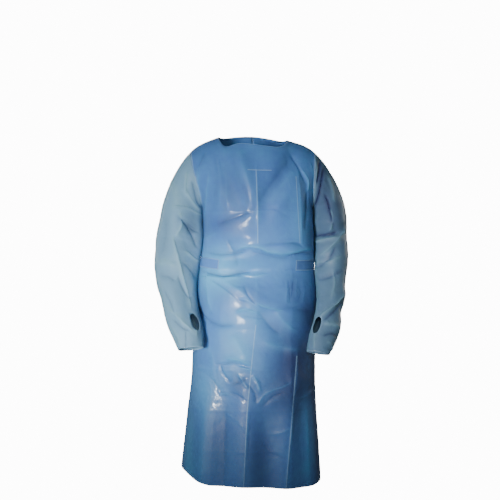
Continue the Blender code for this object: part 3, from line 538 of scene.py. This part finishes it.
def film_material(name, colour, pale, amount, roughness, see_through, painted_rim_light):
    """The film: thin, glossy polyethylene, cloudy, a little see-through and denser where it turns away, with
    painted light, painted shade and a painted rim light mixed into its colour.
    """
    material = bpy.data.materials.new(name)
    material.use_nodes = True
    tree = material.node_tree
    shader = tree.nodes["Principled BSDF"]
    clouds = node(tree, "ShaderNodeGroup", node_tree=clouding_group())
    clouds.inputs["Colour"].default_value = (*colour, 1.0)
    clouds.inputs["Pale"].default_value = (*pale, 1.0)
    clouds.inputs["Amount"].default_value = amount
    seam = node(tree, "ShaderNodeAttribute", attribute_name="from_seam")
    edge = node(tree, "ShaderNodeAttribute", attribute_name="from_edge")
    at_seam = ranged(tree, seam.outputs["Fac"], 0.0012, 0.0042, 0.35, 0.0)
    at_edge = ranged(tree, edge.outputs["Fac"], 0.0005, 0.0045, 0.35, 0.0)
    welded = maths(tree, "MAXIMUM", at_seam, at_edge)
    lines = node(tree, "ShaderNodeGroup", node_tree=pressed_lines_group())
    # The pale attribute mixes in painted light and, on the sleeves, their own paler colour; the next
    # attribute mixes in painted shade
    thin = node(tree, "ShaderNodeAttribute", attribute_name="pale")
    painted_shade_share = node(tree, "ShaderNodeAttribute", attribute_name="deep")
    facing = node(tree, "ShaderNodeLayerWeight", Blend=0.35)
    tone = mixed(tree, thin.outputs["Fac"], clouds.outputs["Colour"], pale)
    tone = mixed(tree, painted_shade_share.outputs["Fac"], tone, PAINTED_SHADE_COLOUR)
    # Painted rim light: a paler teal where the film turns away
    tone = mixed(tree, ranged(tree, facing.outputs["Facing"], 0.25, 1.0, 0.0, painted_rim_light), tone, PAINTED_RIM_LIGHT_COLOUR)
    marked = maths(tree, "MAXIMUM", welded, maths(tree, "MULTIPLY", lines.outputs["Line"], 0.4))
    tree.links.new(mixed(tree, marked, tone, LINE_COLOUR), shader.inputs["Base Color"])
    dulled = ranged(tree, clouds.outputs["Cloud"], 0.0, 1.0, roughness - 0.05, roughness + 0.08)
    tree.links.new(dulled, shader.inputs["Roughness"])
    crinkle = node(tree, "ShaderNodeGroup", node_tree=crinkle_group())
    bump = node(tree, "ShaderNodeBump", Strength=0.35, Distance=0.0012)
    pressed = maths(tree, "MULTIPLY", lines.outputs["Line"], 0.8)
    raised = maths(tree, "ADD", crinkle.outputs["Height"], pressed)
    tree.links.new(raised, bump.inputs["Height"])
    tree.links.new(bump.outputs["Normal"], shader.inputs["Normal"])
    shader.inputs["IOR"].default_value = 1.5
    shader.inputs["Specular IOR Level"].default_value = 0.35
    shader.inputs["Coat Roughness"].default_value = 0.14
    shader.inputs["Coat Weight"].default_value = 0.18
    if see_through:
        cover = ranged(tree, facing.outputs["Facing"], 0.0, 0.9, 1.0 - see_through, 1.0)
        tree.links.new(cover, shader.inputs["Alpha"])
    return material


def film_settings():
    return bpy.context.scene.gown_film


def body_film():
    film = film_settings()
    return bpy.data.materials.get("body_film") or film_material(
        "body_film", film.body_colour, PALE_CLOUD_AND_PAINTED_LIGHT_COLOUR, 0.35, film.roughness, 0.08, 0.12)


def sleeve_film():
    film = film_settings()
    return bpy.data.materials.get("sleeve_film") or film_material(
        "sleeve_film", film.body_colour, film.sleeve_colour, 0.30, film.roughness, 0.18, 0.60)


def tie_film():
    film = film_settings()
    return bpy.data.materials.get("tie_film") or film_material(
        "tie_film", film.tie_colour, PALE_CLOUD_AND_PAINTED_LIGHT_COLOUR, 0.20, film.roughness + 0.04, 0.0, 0.10)


# Film panels

def merged_cad(name):
    """A copy of a CAD node's mesh with its doubled points merged."""
    mesh = bmesh.new()
    mesh.from_mesh(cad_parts[name].data)
    bmesh.ops.remove_doubles(mesh, verts=mesh.verts, dist=SAME_POINT)
    return mesh


def join_quads(mesh):
    bmesh.ops.join_triangles(
        mesh, faces=mesh.faces, angle_face_threshold=math.pi, angle_shape_threshold=math.pi)


def skin_of(name):
    """The outer skin of a CAD wall, as quads: its rims and its inner skin are taken off a copy."""
    mesh = merged_cad(name)
    rims = [face for face in mesh.faces if min(edge.calc_length() for edge in face.edges) < RIM_EDGE]
    bmesh.ops.delete(mesh, geom=rims, context="FACES")
    skins = islands(mesh)
    skins.sort(key=lambda faces: sum(face.calc_area() for face in faces))
    inner = [face for faces in skins[:-1] for face in faces]
    bmesh.ops.delete(mesh, geom=inner, context="FACES")
    join_quads(mesh)
    return mesh


def islands(mesh):
    """The faces of a mesh, in groups that hang together."""
    groups = []
    seen = set()
    for first in mesh.faces:
        if first in seen:
            continue
        seen.add(first)
        group = [first]
        for face in group:
            for edge in face.edges:
                for other in edge.link_faces:
                    if other not in seen:
                        seen.add(other)
                        group.append(other)
        groups.append(group)
    return groups


def joined_skins():
    """All five panels as one mesh, with each face's panel in a layer."""
    whole = bmesh.new()
    panel_layer = whole.faces.layers.int.new("panel")
    for index, name in enumerate(PANELS):
        skin = skin_of(name)
        data = bpy.data.meshes.new(name + "_skin")
        skin.to_mesh(data)
        skin.free()
        before = len(whole.faces)
        whole.from_mesh(data)
        bpy.data.meshes.remove(data)
        whole.faces.ensure_lookup_table()
        for face in whole.faces[before:]:
            face[panel_layer] = index
    return whole


def weld_seams(mesh):
    rims = [vert for vert in mesh.verts if vert.is_boundary]
    bmesh.ops.remove_doubles(mesh, verts=rims, dist=SEAM_GAP)


def cut_skirt(mesh):
    """Cuts the long rows of the body once, so that its squares are about as high as wide."""
    layer = mesh.faces.layers.int["panel"]
    upright = []
    for edge in mesh.edges:
        if not edge.link_faces or edge.link_faces[0][layer] > BACK_RIGHT:
            continue
        a, b = (vert.co for vert in edge.verts)
        steep = abs(a.z - b.z) > 0.8 * (a - b).length
        if steep and edge.calc_length() > LONGEST_ROW and (a.z + b.z) / 2.0 < UNDERARM:
            upright.append(edge)
    bmesh.ops.subdivide_edges(mesh, edges=upright, cuts=1, use_grid_fill=True, smooth=0.0)


def smoothed(mesh, levels, name):
    """Subdivides a copy of the mesh with Blender's own smooth subdivision and applies it."""
    data = bpy.data.meshes.new(name)
    mesh.to_mesh(data)
    shape = bpy.data.objects.new(name, data)
    bpy.context.scene.collection.objects.link(shape)
    subdivide = shape.modifiers.new("smooth", "SUBSURF")
    subdivide.levels = subdivide.render_levels = levels
    subdivide.boundary_smooth = "PRESERVE_CORNERS"
    seen = bpy.context.evaluated_depsgraph_get()
    done = bpy.data.meshes.new_from_object(shape.evaluated_get(seen))
    bpy.data.objects.remove(shape)
    bpy.data.meshes.remove(data)
    return done


def positions(data):
    flat = np.empty(len(data.vertices) * 3, dtype=np.float32)
    data.vertices.foreach_get("co", flat)
    return flat.reshape(-1, 3).astype(np.float64)


def normals(data):
    flat = np.empty(len(data.vertices) * 3, dtype=np.float32)
    data.vertex_normals.foreach_get("vector", flat)
    return flat.reshape(-1, 3).astype(np.float64)


def set_positions(data, points):
    data.vertices.foreach_set("co", points.astype(np.float32).ravel())
    data.update()


def smooth_path(path, steps=6):
    """A path in metres through its points, rounded by a Catmull-Rom curve."""
    points = [np.array(point) / 1000.0 for point in path]
    if len(points) < 3:
        return points
    ends = [2 * points[0] - points[1]] + points + [2 * points[-1] - points[-2]]
    rounded = []
    for a, b, c, d in zip(ends, ends[1:], ends[2:], ends[3:]):
        for step in range(steps):
            t = step / steps
            rounded.append(0.5 * (2 * b + (c - a) * t + (2 * a - 5 * b + 4 * c - d) * t ** 2
                                  + (3 * b - a - 3 * c + d) * t ** 3))
    return rounded + [points[-1]]


def crease_height(places, crease):
    """Height in metres of one crease at the (x, z) places: sharp along its path, fading to its ends."""
    path = smooth_path(crease.path)
    reach = 4.5 * max(crease.left, crease.right) / 1000.0
    corners = np.array(path)
    near = np.all((places > corners.min(0) - reach) & (places < corners.max(0) + reach), axis=1)
    height = np.zeros(len(places))
    if not near.any():
        return height
    spots = places[near]
    best = np.full(len(spots), np.inf)
    side = np.zeros(len(spots))
    along = np.zeros(len(spots))
    lengths = [np.linalg.norm(b - a) for a, b in zip(path, path[1:])]
    total = sum(lengths)
    start = 0.0
    for a, b, length in zip(path, path[1:], lengths):
        direction = (b - a) / length
        offset = spots - a
        t = np.clip(offset @ direction, 0.0, length)
        away = offset - t[:, None] * direction
        distance = np.hypot(away[:, 0], away[:, 1])
        closer = distance < best
        best = np.where(closer, distance, best)
        side = np.where(closer, direction[0] * offset[:, 1] - direction[1] * offset[:, 0], side)
        along = np.where(closer, (start + t) / total, along)
        start += length
    width = np.where(side > 0, crease.left, crease.right) / 1000.0
    scaled = best / width
    profile = np.exp(-np.sqrt(scaled ** 2 + 0.04) + 0.2) * np.clip(1.0 - scaled / 4.5, 0.0, 1.0)
    ends = np.clip(np.minimum(along, 1.0 - along) / 0.22, 0.0, 1.0)
    height[near] = crease.height / 1000.0 * profile * (0.25 + 0.75 * np.sin(ends * math.pi / 2.0))
    return height


def crease_sum(places, table):
    return sum((crease_height(places, crease) for crease in table), np.zeros(len(places)))


def steps_between(value, low, high):
    """0 below low, 1 above high, and a smooth step between."""
    t = np.clip((value - low) / (high - low), 0.0, 1.0)
    return t * t * (3.0 - 2.0 * t)


def crumple(points, seed, scale):
    """Small crumples of film: ridged noise with broad flat facets, between -1 and 1."""
    noise.seed_set(NOISE_SEED)
    shift = Vector((seed * 3.7, seed * 1.3, seed * 2.1))
    heights = np.empty(len(points))
    for index, point in enumerate(points):
        spot = Vector(point) * scale + shift
        bent = spot + 0.35 * noise.noise_vector(spot * 0.7)
        near = noise.voronoi(bent)[0]
        heights[index] = near[1] - near[0]
    heights = np.clip(heights, 0.0, 0.7) / 0.7
    return 1.0 - 2.0 * heights


def distances(points, targets):
    """Distance from each point to the nearest target."""
    tree = KDTree(len(targets))
    for index, target in enumerate(targets):
        tree.insert(target, index)
    tree.balance()
    return np.array([tree.find(point)[2] for point in points])


def set_float(data, name, values):
    attribute = data.attributes.get(name) or data.attributes.new(name, "FLOAT", "POINT")
    attribute.data.foreach_set("value", np.asarray(values, dtype=np.float32))


def patches(places, table):
    """Strength of the soft patches of tone at the (x, z) places."""
    clear = np.ones(len(places))
    for patch in table:
        away = (places - (patch.x, patch.z)) / (patch.wide, patch.high)
        clear *= 1.0 - patch.amount * np.exp(-(away ** 2).sum(axis=1))
    return 1.0 - clear


def panel_sets(data):
    """For each panel, which vertices its faces touch, and the points of the free edges."""
    whole = bmesh.new()
    whole.from_mesh(data)
    layer = whole.faces.layers.int["panel"]
    count = len(whole.verts)
    touches = np.zeros((len(PANELS), count), dtype=bool)
    for face in whole.faces:
        for vert in face.verts:
            touches[face[layer], vert.index] = True
    free = [vert.co.copy() for vert in whole.verts if vert.is_boundary]
    whole.free()
    return touches, free


def placed_creases(points, out, touches):
    """Height of the placed creases at each point of the joined film."""
    flat = points[:, [0, 2]]
    height = np.zeros(len(points))
    front = touches[FRONT]
    height[front] += crease_sum(flat[front], FRONT_CREASES) * steps_between(-out[front, 1], 0.0, 0.35)
    back = (touches[BACK_LEFT] | touches[BACK_RIGHT]) & ~front
    height[back] += crease_sum(flat[back], BACK_CREASES) * steps_between(out[back, 1], 0.0, 0.35)
    for index, table in ((SLEEVE_LEFT, LEFT_SLEEVE_CREASES), (SLEEVE_RIGHT, RIGHT_SLEEVE_CREASES)):
        here = touches[index]
        forward = steps_between(-out[here, 1], -0.15, 0.35)
        backward = steps_between(out[here, 1], -0.05, 0.35)
        shifted = flat[here] + np.array([0.0, SLEEVE_BACK_SHIFT])
        height[here] += SLEEVE_CREASE_FACTOR * crease_sum(flat[here], table) * forward
        height[here] += crease_sum(shifted, table) * SLEEVE_BACK_FACTOR * backward
    return height * bpy.context.scene.gown_creasing.main


def finer_at_creases(data, step):
    """Cuts the edges over which the placed creases rise or fall by more than the step."""
    touches, free = panel_sets(data)
    height = placed_creases(positions(data), normals(data), touches)
    mesh = bmesh.new()
    mesh.from_mesh(data)
    mesh.verts.ensure_lookup_table()
    steep = set()
    for face in mesh.faces:
        rises = [height[vert.index] for vert in face.verts]
        if max(rises) - min(rises) > step:
            steep.update(face.edges)
    bmesh.ops.subdivide_edges(mesh, edges=list(steep), cuts=1, use_grid_fill=True, smooth=0.0)
    mesh.to_mesh(data)
    mesh.free()


def liveliness(z):
    """How lively the small crumples are by height: denser over the waist, at the tie and at the knee."""
    over_waist = steps_between(-z, 0.30, 0.40)
    at_tie = np.exp(-((z + 0.45) / 0.07) ** 2)
    at_knee = np.exp(-((z + 0.76) / 0.05) ** 2)
    return 0.20 + 0.25 * over_waist + 0.55 * at_tie + 0.35 * at_knee


def lean_sleeves(moved, z, out, touches, sleeve):
    """Leans each sleeve's inner side to the body."""
    rows = sorted(LEANS)
    heights = [row.z for row in rows]
    right = [row.right for row in rows]
    left = [row.left for row in rows]
    for index, inward, leans in ((SLEEVE_RIGHT, 1.0, right), (SLEEVE_LEFT, -1.0, left)):
        here = touches[index] & sleeve
        facing_body = steps_between(out[here, 0] * inward, 0.1, 0.9)
        moved[here, 0] += inward * np.interp(z[here], heights, leans) / 1000.0 * facing_body


def fold_sides(moved, points, body):
    """Draws out the soft fold down each side of the back."""
    z = points[:, 2]
    side = steps_between(np.abs(points[:, 0]), 0.10, 0.14) * body
    run = steps_between(-z, 0.205, 0.236) * (1.0 - steps_between(-z, 0.49, 0.56))
    at_tie = np.exp(-((z - SIDE_FOLD_TIE_HEIGHT) / SIDE_FOLD_TIE_REACH) ** 2)
    fold = SIDE_FOLD + SIDE_FOLD_AT_TIE * at_tie
    across = np.exp(-((points[:, 1] - SIDE_FOLD_DEPTH) / SIDE_FOLD_REACH) ** 2)
    moved[:, 0] += np.sign(points[:, 0]) * fold * side * run * across


def paint_light_and_shade(data, flat, out, height, touches, sleeve):
    """Stores the film's painted light and painted shade: painted highlights on ridges, painted shade in
    troughs, the painted patches, and the sleeves' share of their own colour.
    """
    front = touches[FRONT]
    z = flat[:, 1]
    ridge = np.clip(height / RIDGE_FULL, -1.0, 1.0)
    raised = np.clip(ridge, 0.0, 1.0)
    sunk = np.clip(-ridge, 0.0, 1.0)
    # Painted light from the pale patches and painted shade from the deep patches, on the front
    pale = patches(flat, PAINTED_LIGHT_PATCHES) * front
    deep = patches(flat, PAINTED_SHADE_PATCHES) * (out[:, 1] < 0.2)
    pale[sleeve] = SLEEVE_PALE
    # Painted shade over the left sleeve, on the gown's shaded side, with less of it lower down
    shaded = touches[SLEEVE_LEFT] & sleeve
    deep[shaded] = LEFT_SLEEVE_PAINTED_SHADE - LEFT_SLEEVE_LESS * steps_between(-z[shaded], 0.20, 0.45)
    set_float(data, "pale", np.clip(pale + 0.5 * raised, 0.0, 1.0))
    set_float(data, "deep", np.clip(deep * (1.0 - 0.4 * raised) + 0.3 * sunk, 0.0, 1.0))


def crease_panels(data):
    """Moves the joined film along its normals: placed creases, packing folds and small crumples."""
    settings = bpy.context.scene.gown_creasing
    for step in CREASE_STEPS:
        finer_at_creases(data, step)
    points = positions(data)
    out = normals(data)
    touches, free = panel_sets(data)
    from_seam = distances(points, points[touches.sum(axis=0) > 1])
    from_edge = distances(points, free)
    z = points[:, 2]
    body = touches[FRONT] | touches[BACK_LEFT] | touches[BACK_RIGHT]
    sleeve = ~body
    placed = placed_creases(points, out, touches)
    lively = liveliness(z)
    lively[sleeve] = 0.9
    broad = crumple(points, 1, 16.0)
    small = crumple(points, 2, 38.0)
    height = placed + settings.crumple * lively * (0.40 * broad + 0.55 * small)
    for fold in PACKING_FOLDS:
        height[body] += settings.packing * np.exp(-np.abs(z[body] - fold) / PACKING_FOLD_REACH)
    low, high = TIE_BAND
    band = steps_between(z, low - TIE_BAND_EDGE, low) * (1.0 - steps_between(z, high, high + TIE_BAND_EDGE))
    under_front_tie = (points[:, 0] > 0.118) | (points[:, 0] < -0.150)
    tied = np.where(touches[FRONT], under_front_tie, True) & body
    height *= 1.0 - band * tied
    height *= 0.35 + 0.65 * steps_between(from_seam, 0.0, 0.012)
    height += SEAM_RIDGE * np.exp(-(from_seam / SEAM_RIDGE_REACH) ** 2)
    height = np.clip(height, *CREASE_LIMITS)
    moved = points + out * height[:, None]
    lean_sleeves(moved, z, out, touches, sleeve)
    fold_sides(moved, points, body)
    set_positions(data, moved)
    set_float(data, "from_seam", from_seam)
    set_float(data, "from_edge", from_edge)
    paint_light_and_shade(data, points[:, [0, 2]], out, placed, touches, sleeve)


def film_piece(name, data, material):
    data.shade_smooth()
    data.materials.clear()
    data.materials.append(material)
    piece = bpy.data.objects.new(name, data)
    bpy.context.scene.collection.objects.link(piece)
    return piece


def walled(piece):
    """Gives a piece the film's thickness, inwards."""
    wall = piece.modifiers.new("film wall", "SOLIDIFY")
    wall.thickness = film_settings().wall
    wall.offset = -1.0
    return piece


def piece_from(data, index, name, material):
    """One panel's faces as an object of its own, with the film's thickness inwards."""
    panel = bmesh.new()
    panel.from_mesh(data)
    layer = panel.faces.layers.int["panel"]
    others = [face for face in panel.faces if face[layer] != index]
    bmesh.ops.delete(panel, geom=others, context="FACES")
    mesh = bpy.data.meshes.new(name)
    panel.to_mesh(mesh)
    panel.free()
    return walled(film_piece(name, mesh, material))


Cut = namedtuple("Cut", "width length area")


def place(piece, name, slot):
    """Rides the piece and lets it stand for its CAD node."""
    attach(piece, "root")
    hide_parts(name)


class GOWN_OT_panels(bpy.types.Operator):
    """Makes the front, the two backs and the sleeves as creased film, welded at their seams"""
    bl_idname = "gown.panels"
    bl_label = "Film panels and sleeves"

    def execute(self, context):
        joined = joined_skins()
        weld_seams(joined)
        cut_skirt(joined)
        data = smoothed(joined, film_settings().levels, "gown_film")
        joined.free()
        crease_panels(data)
        for index, name in enumerate(PANELS):
            film = sleeve_film() if name.startswith("sleeve") else body_film()
            place(piece_from(data, index, name + "_film", film), name, name)
        bpy.data.meshes.remove(data)
        return {"FINISHED"}


class GOWN_OT_waist_ties(bpy.types.Operator):
    """Makes the two flat waist ties with their pressed edges"""
    bl_idname = "gown.waist_ties"
    bl_label = "Waist ties"

    def execute(self, context):
        for name in TIES:
            place(strip_piece(name, TIE_CRUMPLE), name, name)
        return {"FINISHED"}


def strip_piece(name, height):
    """A tie, loop or tail: its CAD skin, subdivided, crumpled and given the film's wall."""
    skin = skin_of(name)
    data = smoothed(skin, 3, name + "_film")
    skin.free()
    points = positions(data)
    out = normals(data)
    edge_points = bmesh.new()
    edge_points.from_mesh(data)
    free = [vert.co.copy() for vert in edge_points.verts if vert.is_boundary]
    edge_points.free()
    from_edge = distances(points, free)
    broad = crumple(points, 3, STRIP_CRUMPLES * 2.0)
    small = crumple(points, 4, STRIP_CRUMPLES * 5.0)
    lift = height * (broad + 0.6 * small)
    lift *= steps_between(from_edge, -0.004, 0.006)
    set_positions(data, points + out * lift[:, None])
    set_float(data, "from_edge", from_edge)
    set_float(data, "from_seam", np.full(len(points), 1.0))
    # Painted shade on the front of the left tie
    set_float(data, "deep", LEFT_TIE_PAINTED_SHADE * ((points[:, 0] > 0.0) & (points[:, 1] < 0.0)))
    return walled(film_piece(name + "_film", data, tie_film()))


class GOWN_OT_bow(bpy.types.Operator):
    """Makes the bow at the back: its knot, two loops and two tails"""
    bl_idname = "gown.bow"
    bl_label = "Back bow"

    def execute(self, context):
        for name in BOW[1:]:
            place(strip_piece(name, BOW_CRUMPLE), name, name)
        knot = merged_cad("bow_knot")
        join_quads(knot)
        data = smoothed(knot, 2, "bow_knot_film")
        knot.free()
        points = positions(data)
        out = normals(data)
        lift = KNOT_CRUMPLE * crumple(points, 5, KNOT_CRUMPLES)
        set_positions(data, points + out * lift[:, None])
        set_float(data, "from_edge", np.full(len(points), 1.0))
        set_float(data, "from_seam", np.full(len(points), 1.0))
        place(film_piece("bow_knot_film", data, tie_film()), "bow_knot", "bow_knot")
        return {"FINISHED"}


# Stage

CAMERA_PLACE = (-0.016, -3.6, -0.3616)
CAMERA_LENS = 81.0
CAMERA_SENSOR = 36.0
FLOOR_RADIUS = 1.3
FLOOR_GLOW_COLOUR = (0.80, 0.83, 0.86)
FLOOR_GLOW = 1.6
WHITE = (1.0, 1.0, 1.0)
SURROUND_COLOUR = (0.93, 0.96, 1.0)
SURROUND_SEEN = 13.0
GOWN_MIDDLE = (-0.01, 0.0, -0.55)

# Soft lamps behind the gown, for its back and sides: place and power in watts
BackLamp = namedtuple("BackLamp", "name place power")
BACK_LAMPS = [
    BackLamp("back", (-0.9, 2.9, 0.7), 34.0),
    BackLamp("back_left", (2.7, 1.5, 0.2), 14.0),
    BackLamp("back_right", (-2.7, 1.5, 0.2), 12.0),
]


def area_light(name, place_at, aim, power, size):
    lamp = bpy.data.lights.new(name, "AREA")
    lamp.energy = power
    lamp.shape = "RECTANGLE"
    lamp.size, lamp.size_y = size
    holder = bpy.data.objects.new(name, lamp)
    holder.location = place_at
    holder.rotation_euler = (Vector(aim) - Vector(place_at)).to_track_quat("-Z", "Y").to_euler()
    bpy.context.scene.collection.objects.link(holder)
    return holder


def pale_floor(height):
    """A round pale floor under the gown, with a faint grain."""
    ground = bmesh.new()
    bmesh.ops.create_circle(ground, cap_ends=True, segments=96, radius=FLOOR_RADIUS)
    bmesh.ops.translate(ground, verts=ground.verts, vec=(0.0, 0.0, height))
    data = bpy.data.meshes.new("floor")
    ground.to_mesh(data)
    ground.free()
    floor = bpy.data.objects.new("floor", data)
    bpy.context.scene.collection.objects.link(floor)
    paint = bpy.data.materials.new("pale_floor")
    paint.use_nodes = True
    shader = paint.node_tree.nodes["Principled BSDF"]
    grain = node(paint.node_tree, "ShaderNodeTexNoise", Scale=30.0)
    tone = ranged(paint.node_tree, grain.outputs["Fac"], 0.3, 0.7, 0.78, 0.84)
    paint.node_tree.links.new(tone, shader.inputs["Base Color"])
    shader.inputs["Roughness"].default_value = 0.7
    shader.inputs["Emission Color"].default_value = (*FLOOR_GLOW_COLOUR, 1.0)
    shader.inputs["Emission Strength"].default_value = FLOOR_GLOW
    data.materials.append(paint)
    floor.visible_diffuse = False
    floor.visible_glossy = False


def white_surround(strength):
    """A surround that is seen white past the gown, and lights it only faintly."""
    world = bpy.data.worlds.new("surround")
    bpy.context.scene.world = world
    world.use_nodes = True
    tree = world.node_tree
    seen = tree.nodes["Background"]
    seen.inputs["Color"].default_value = (*WHITE, 1.0)
    seen.inputs["Strength"].default_value = SURROUND_SEEN
    lit = node(tree, "ShaderNodeBackground", Strength=strength)
    lit.inputs["Color"].default_value = (*SURROUND_COLOUR, 1.0)
    path = node(tree, "ShaderNodeLightPath")
    mix = node(tree, "ShaderNodeMixShader")
    clear = maths(tree, "LESS_THAN", path.outputs["Transparent Depth"], 0.5)
    tree.links.new(maths(tree, "MULTIPLY", path.outputs["Is Camera Ray"], clear), mix.inputs[0])
    tree.links.new(lit.outputs[0], mix.inputs[1])
    tree.links.new(seen.outputs[0], mix.inputs[2])
    tree.links.new(mix.outputs[0], tree.nodes["World Output"].inputs["Surface"])


def studio_lights(settings):
    """The key and fill lights draw no gloss, the sheen light draws only gloss."""
    key = area_light("key", (-1.2, -2.7, -0.52), (-0.09, -0.15, -0.44), settings.key_power, (0.6, 0.8))
    key.data.spread = math.radians(24.0)
    key.visible_glossy = False
    sheen = area_light(
        "sheen", (-0.95, -2.8, -0.50), (-0.04, -0.15, -0.60), settings.sheen_power, (0.5, 0.7))
    sheen.data.spread = math.radians(13.0)
    sheen.visible_diffuse = False
    front = area_light("front", (0.10, -3.2, 0.5), (0.07, -0.13, -0.26), settings.fill_power, (0.9, 0.9))
    front.data.spread = math.radians(34.0)
    front.visible_glossy = False
    for lamp in BACK_LAMPS:
        area_light(lamp.name, lamp.place, GOWN_MIDDLE, lamp.power, (1.2, 1.2))


def front_camera():
    lens = bpy.data.cameras.new("camera")
    lens.lens = CAMERA_LENS
    lens.sensor_width = CAMERA_SENSOR
    camera = bpy.data.objects.new("camera", lens)
    camera.location = CAMERA_PLACE
    camera.rotation_euler = (math.radians(90.0), 0.0, 0.0)
    bpy.context.scene.collection.objects.link(camera)
    bpy.context.scene.camera = camera


class GOWN_OT_stage(bpy.types.Operator):
    """Makes the pale floor, the soft studio lights and the camera"""
    bl_idname = "gown.stage"
    bl_label = "Stage"

    def execute(self, context):
        settings = context.scene.gown_stage
        pale_floor(settings.floor_height)
        white_surround(settings.surround)
        studio_lights(settings)
        front_camera()
        return {"FINISHED"}


class GOWN_PT_sidebar(bpy.types.Panel):
    """Lists the gown's pieces and their settings"""
    bl_idname = "GOWN_PT_sidebar"
    bl_label = "Disposable gown"
    bl_space_type = "VIEW_3D"
    bl_region_type = "UI"
    bl_category = "Gown"

    def draw(self, context):
        scene = context.scene
        for group in (scene.gown_film, scene.gown_creasing, scene.gown_stage):
            box = self.layout.box()
            for name in group.__annotations__:
                box.prop(group, name)
        for operator in OPERATORS:
            self.layout.operator(operator.bl_idname)


GROUPS = {"gown_film": GownFilm, "gown_creasing": GownCreasing, "gown_stage": GownStage}
OPERATORS = (GOWN_OT_panels, GOWN_OT_waist_ties, GOWN_OT_bow, GOWN_OT_stage)


def register():
    for kind in (*GROUPS.values(), *OPERATORS, GOWN_PT_sidebar):
        bpy.utils.register_class(kind)
    for name, kind in GROUPS.items():
        setattr(bpy.types.Scene, name, bpy.props.PointerProperty(type=kind))


def unregister():
    for name in GROUPS:
        delattr(bpy.types.Scene, name)
    for kind in reversed((*GROUPS.values(), *OPERATORS, GOWN_PT_sidebar)):
        bpy.utils.unregister_class(kind)


def corners(box):
    return [[float(number) for number in corner] for corner in box]


def main():
    register()
    bpy.ops.gown.panels()
    bpy.ops.gown.waist_ties()
    bpy.ops.gown.bow()
    bpy.ops.gown.stage()
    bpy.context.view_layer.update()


if __name__ == "__main__":
    main()
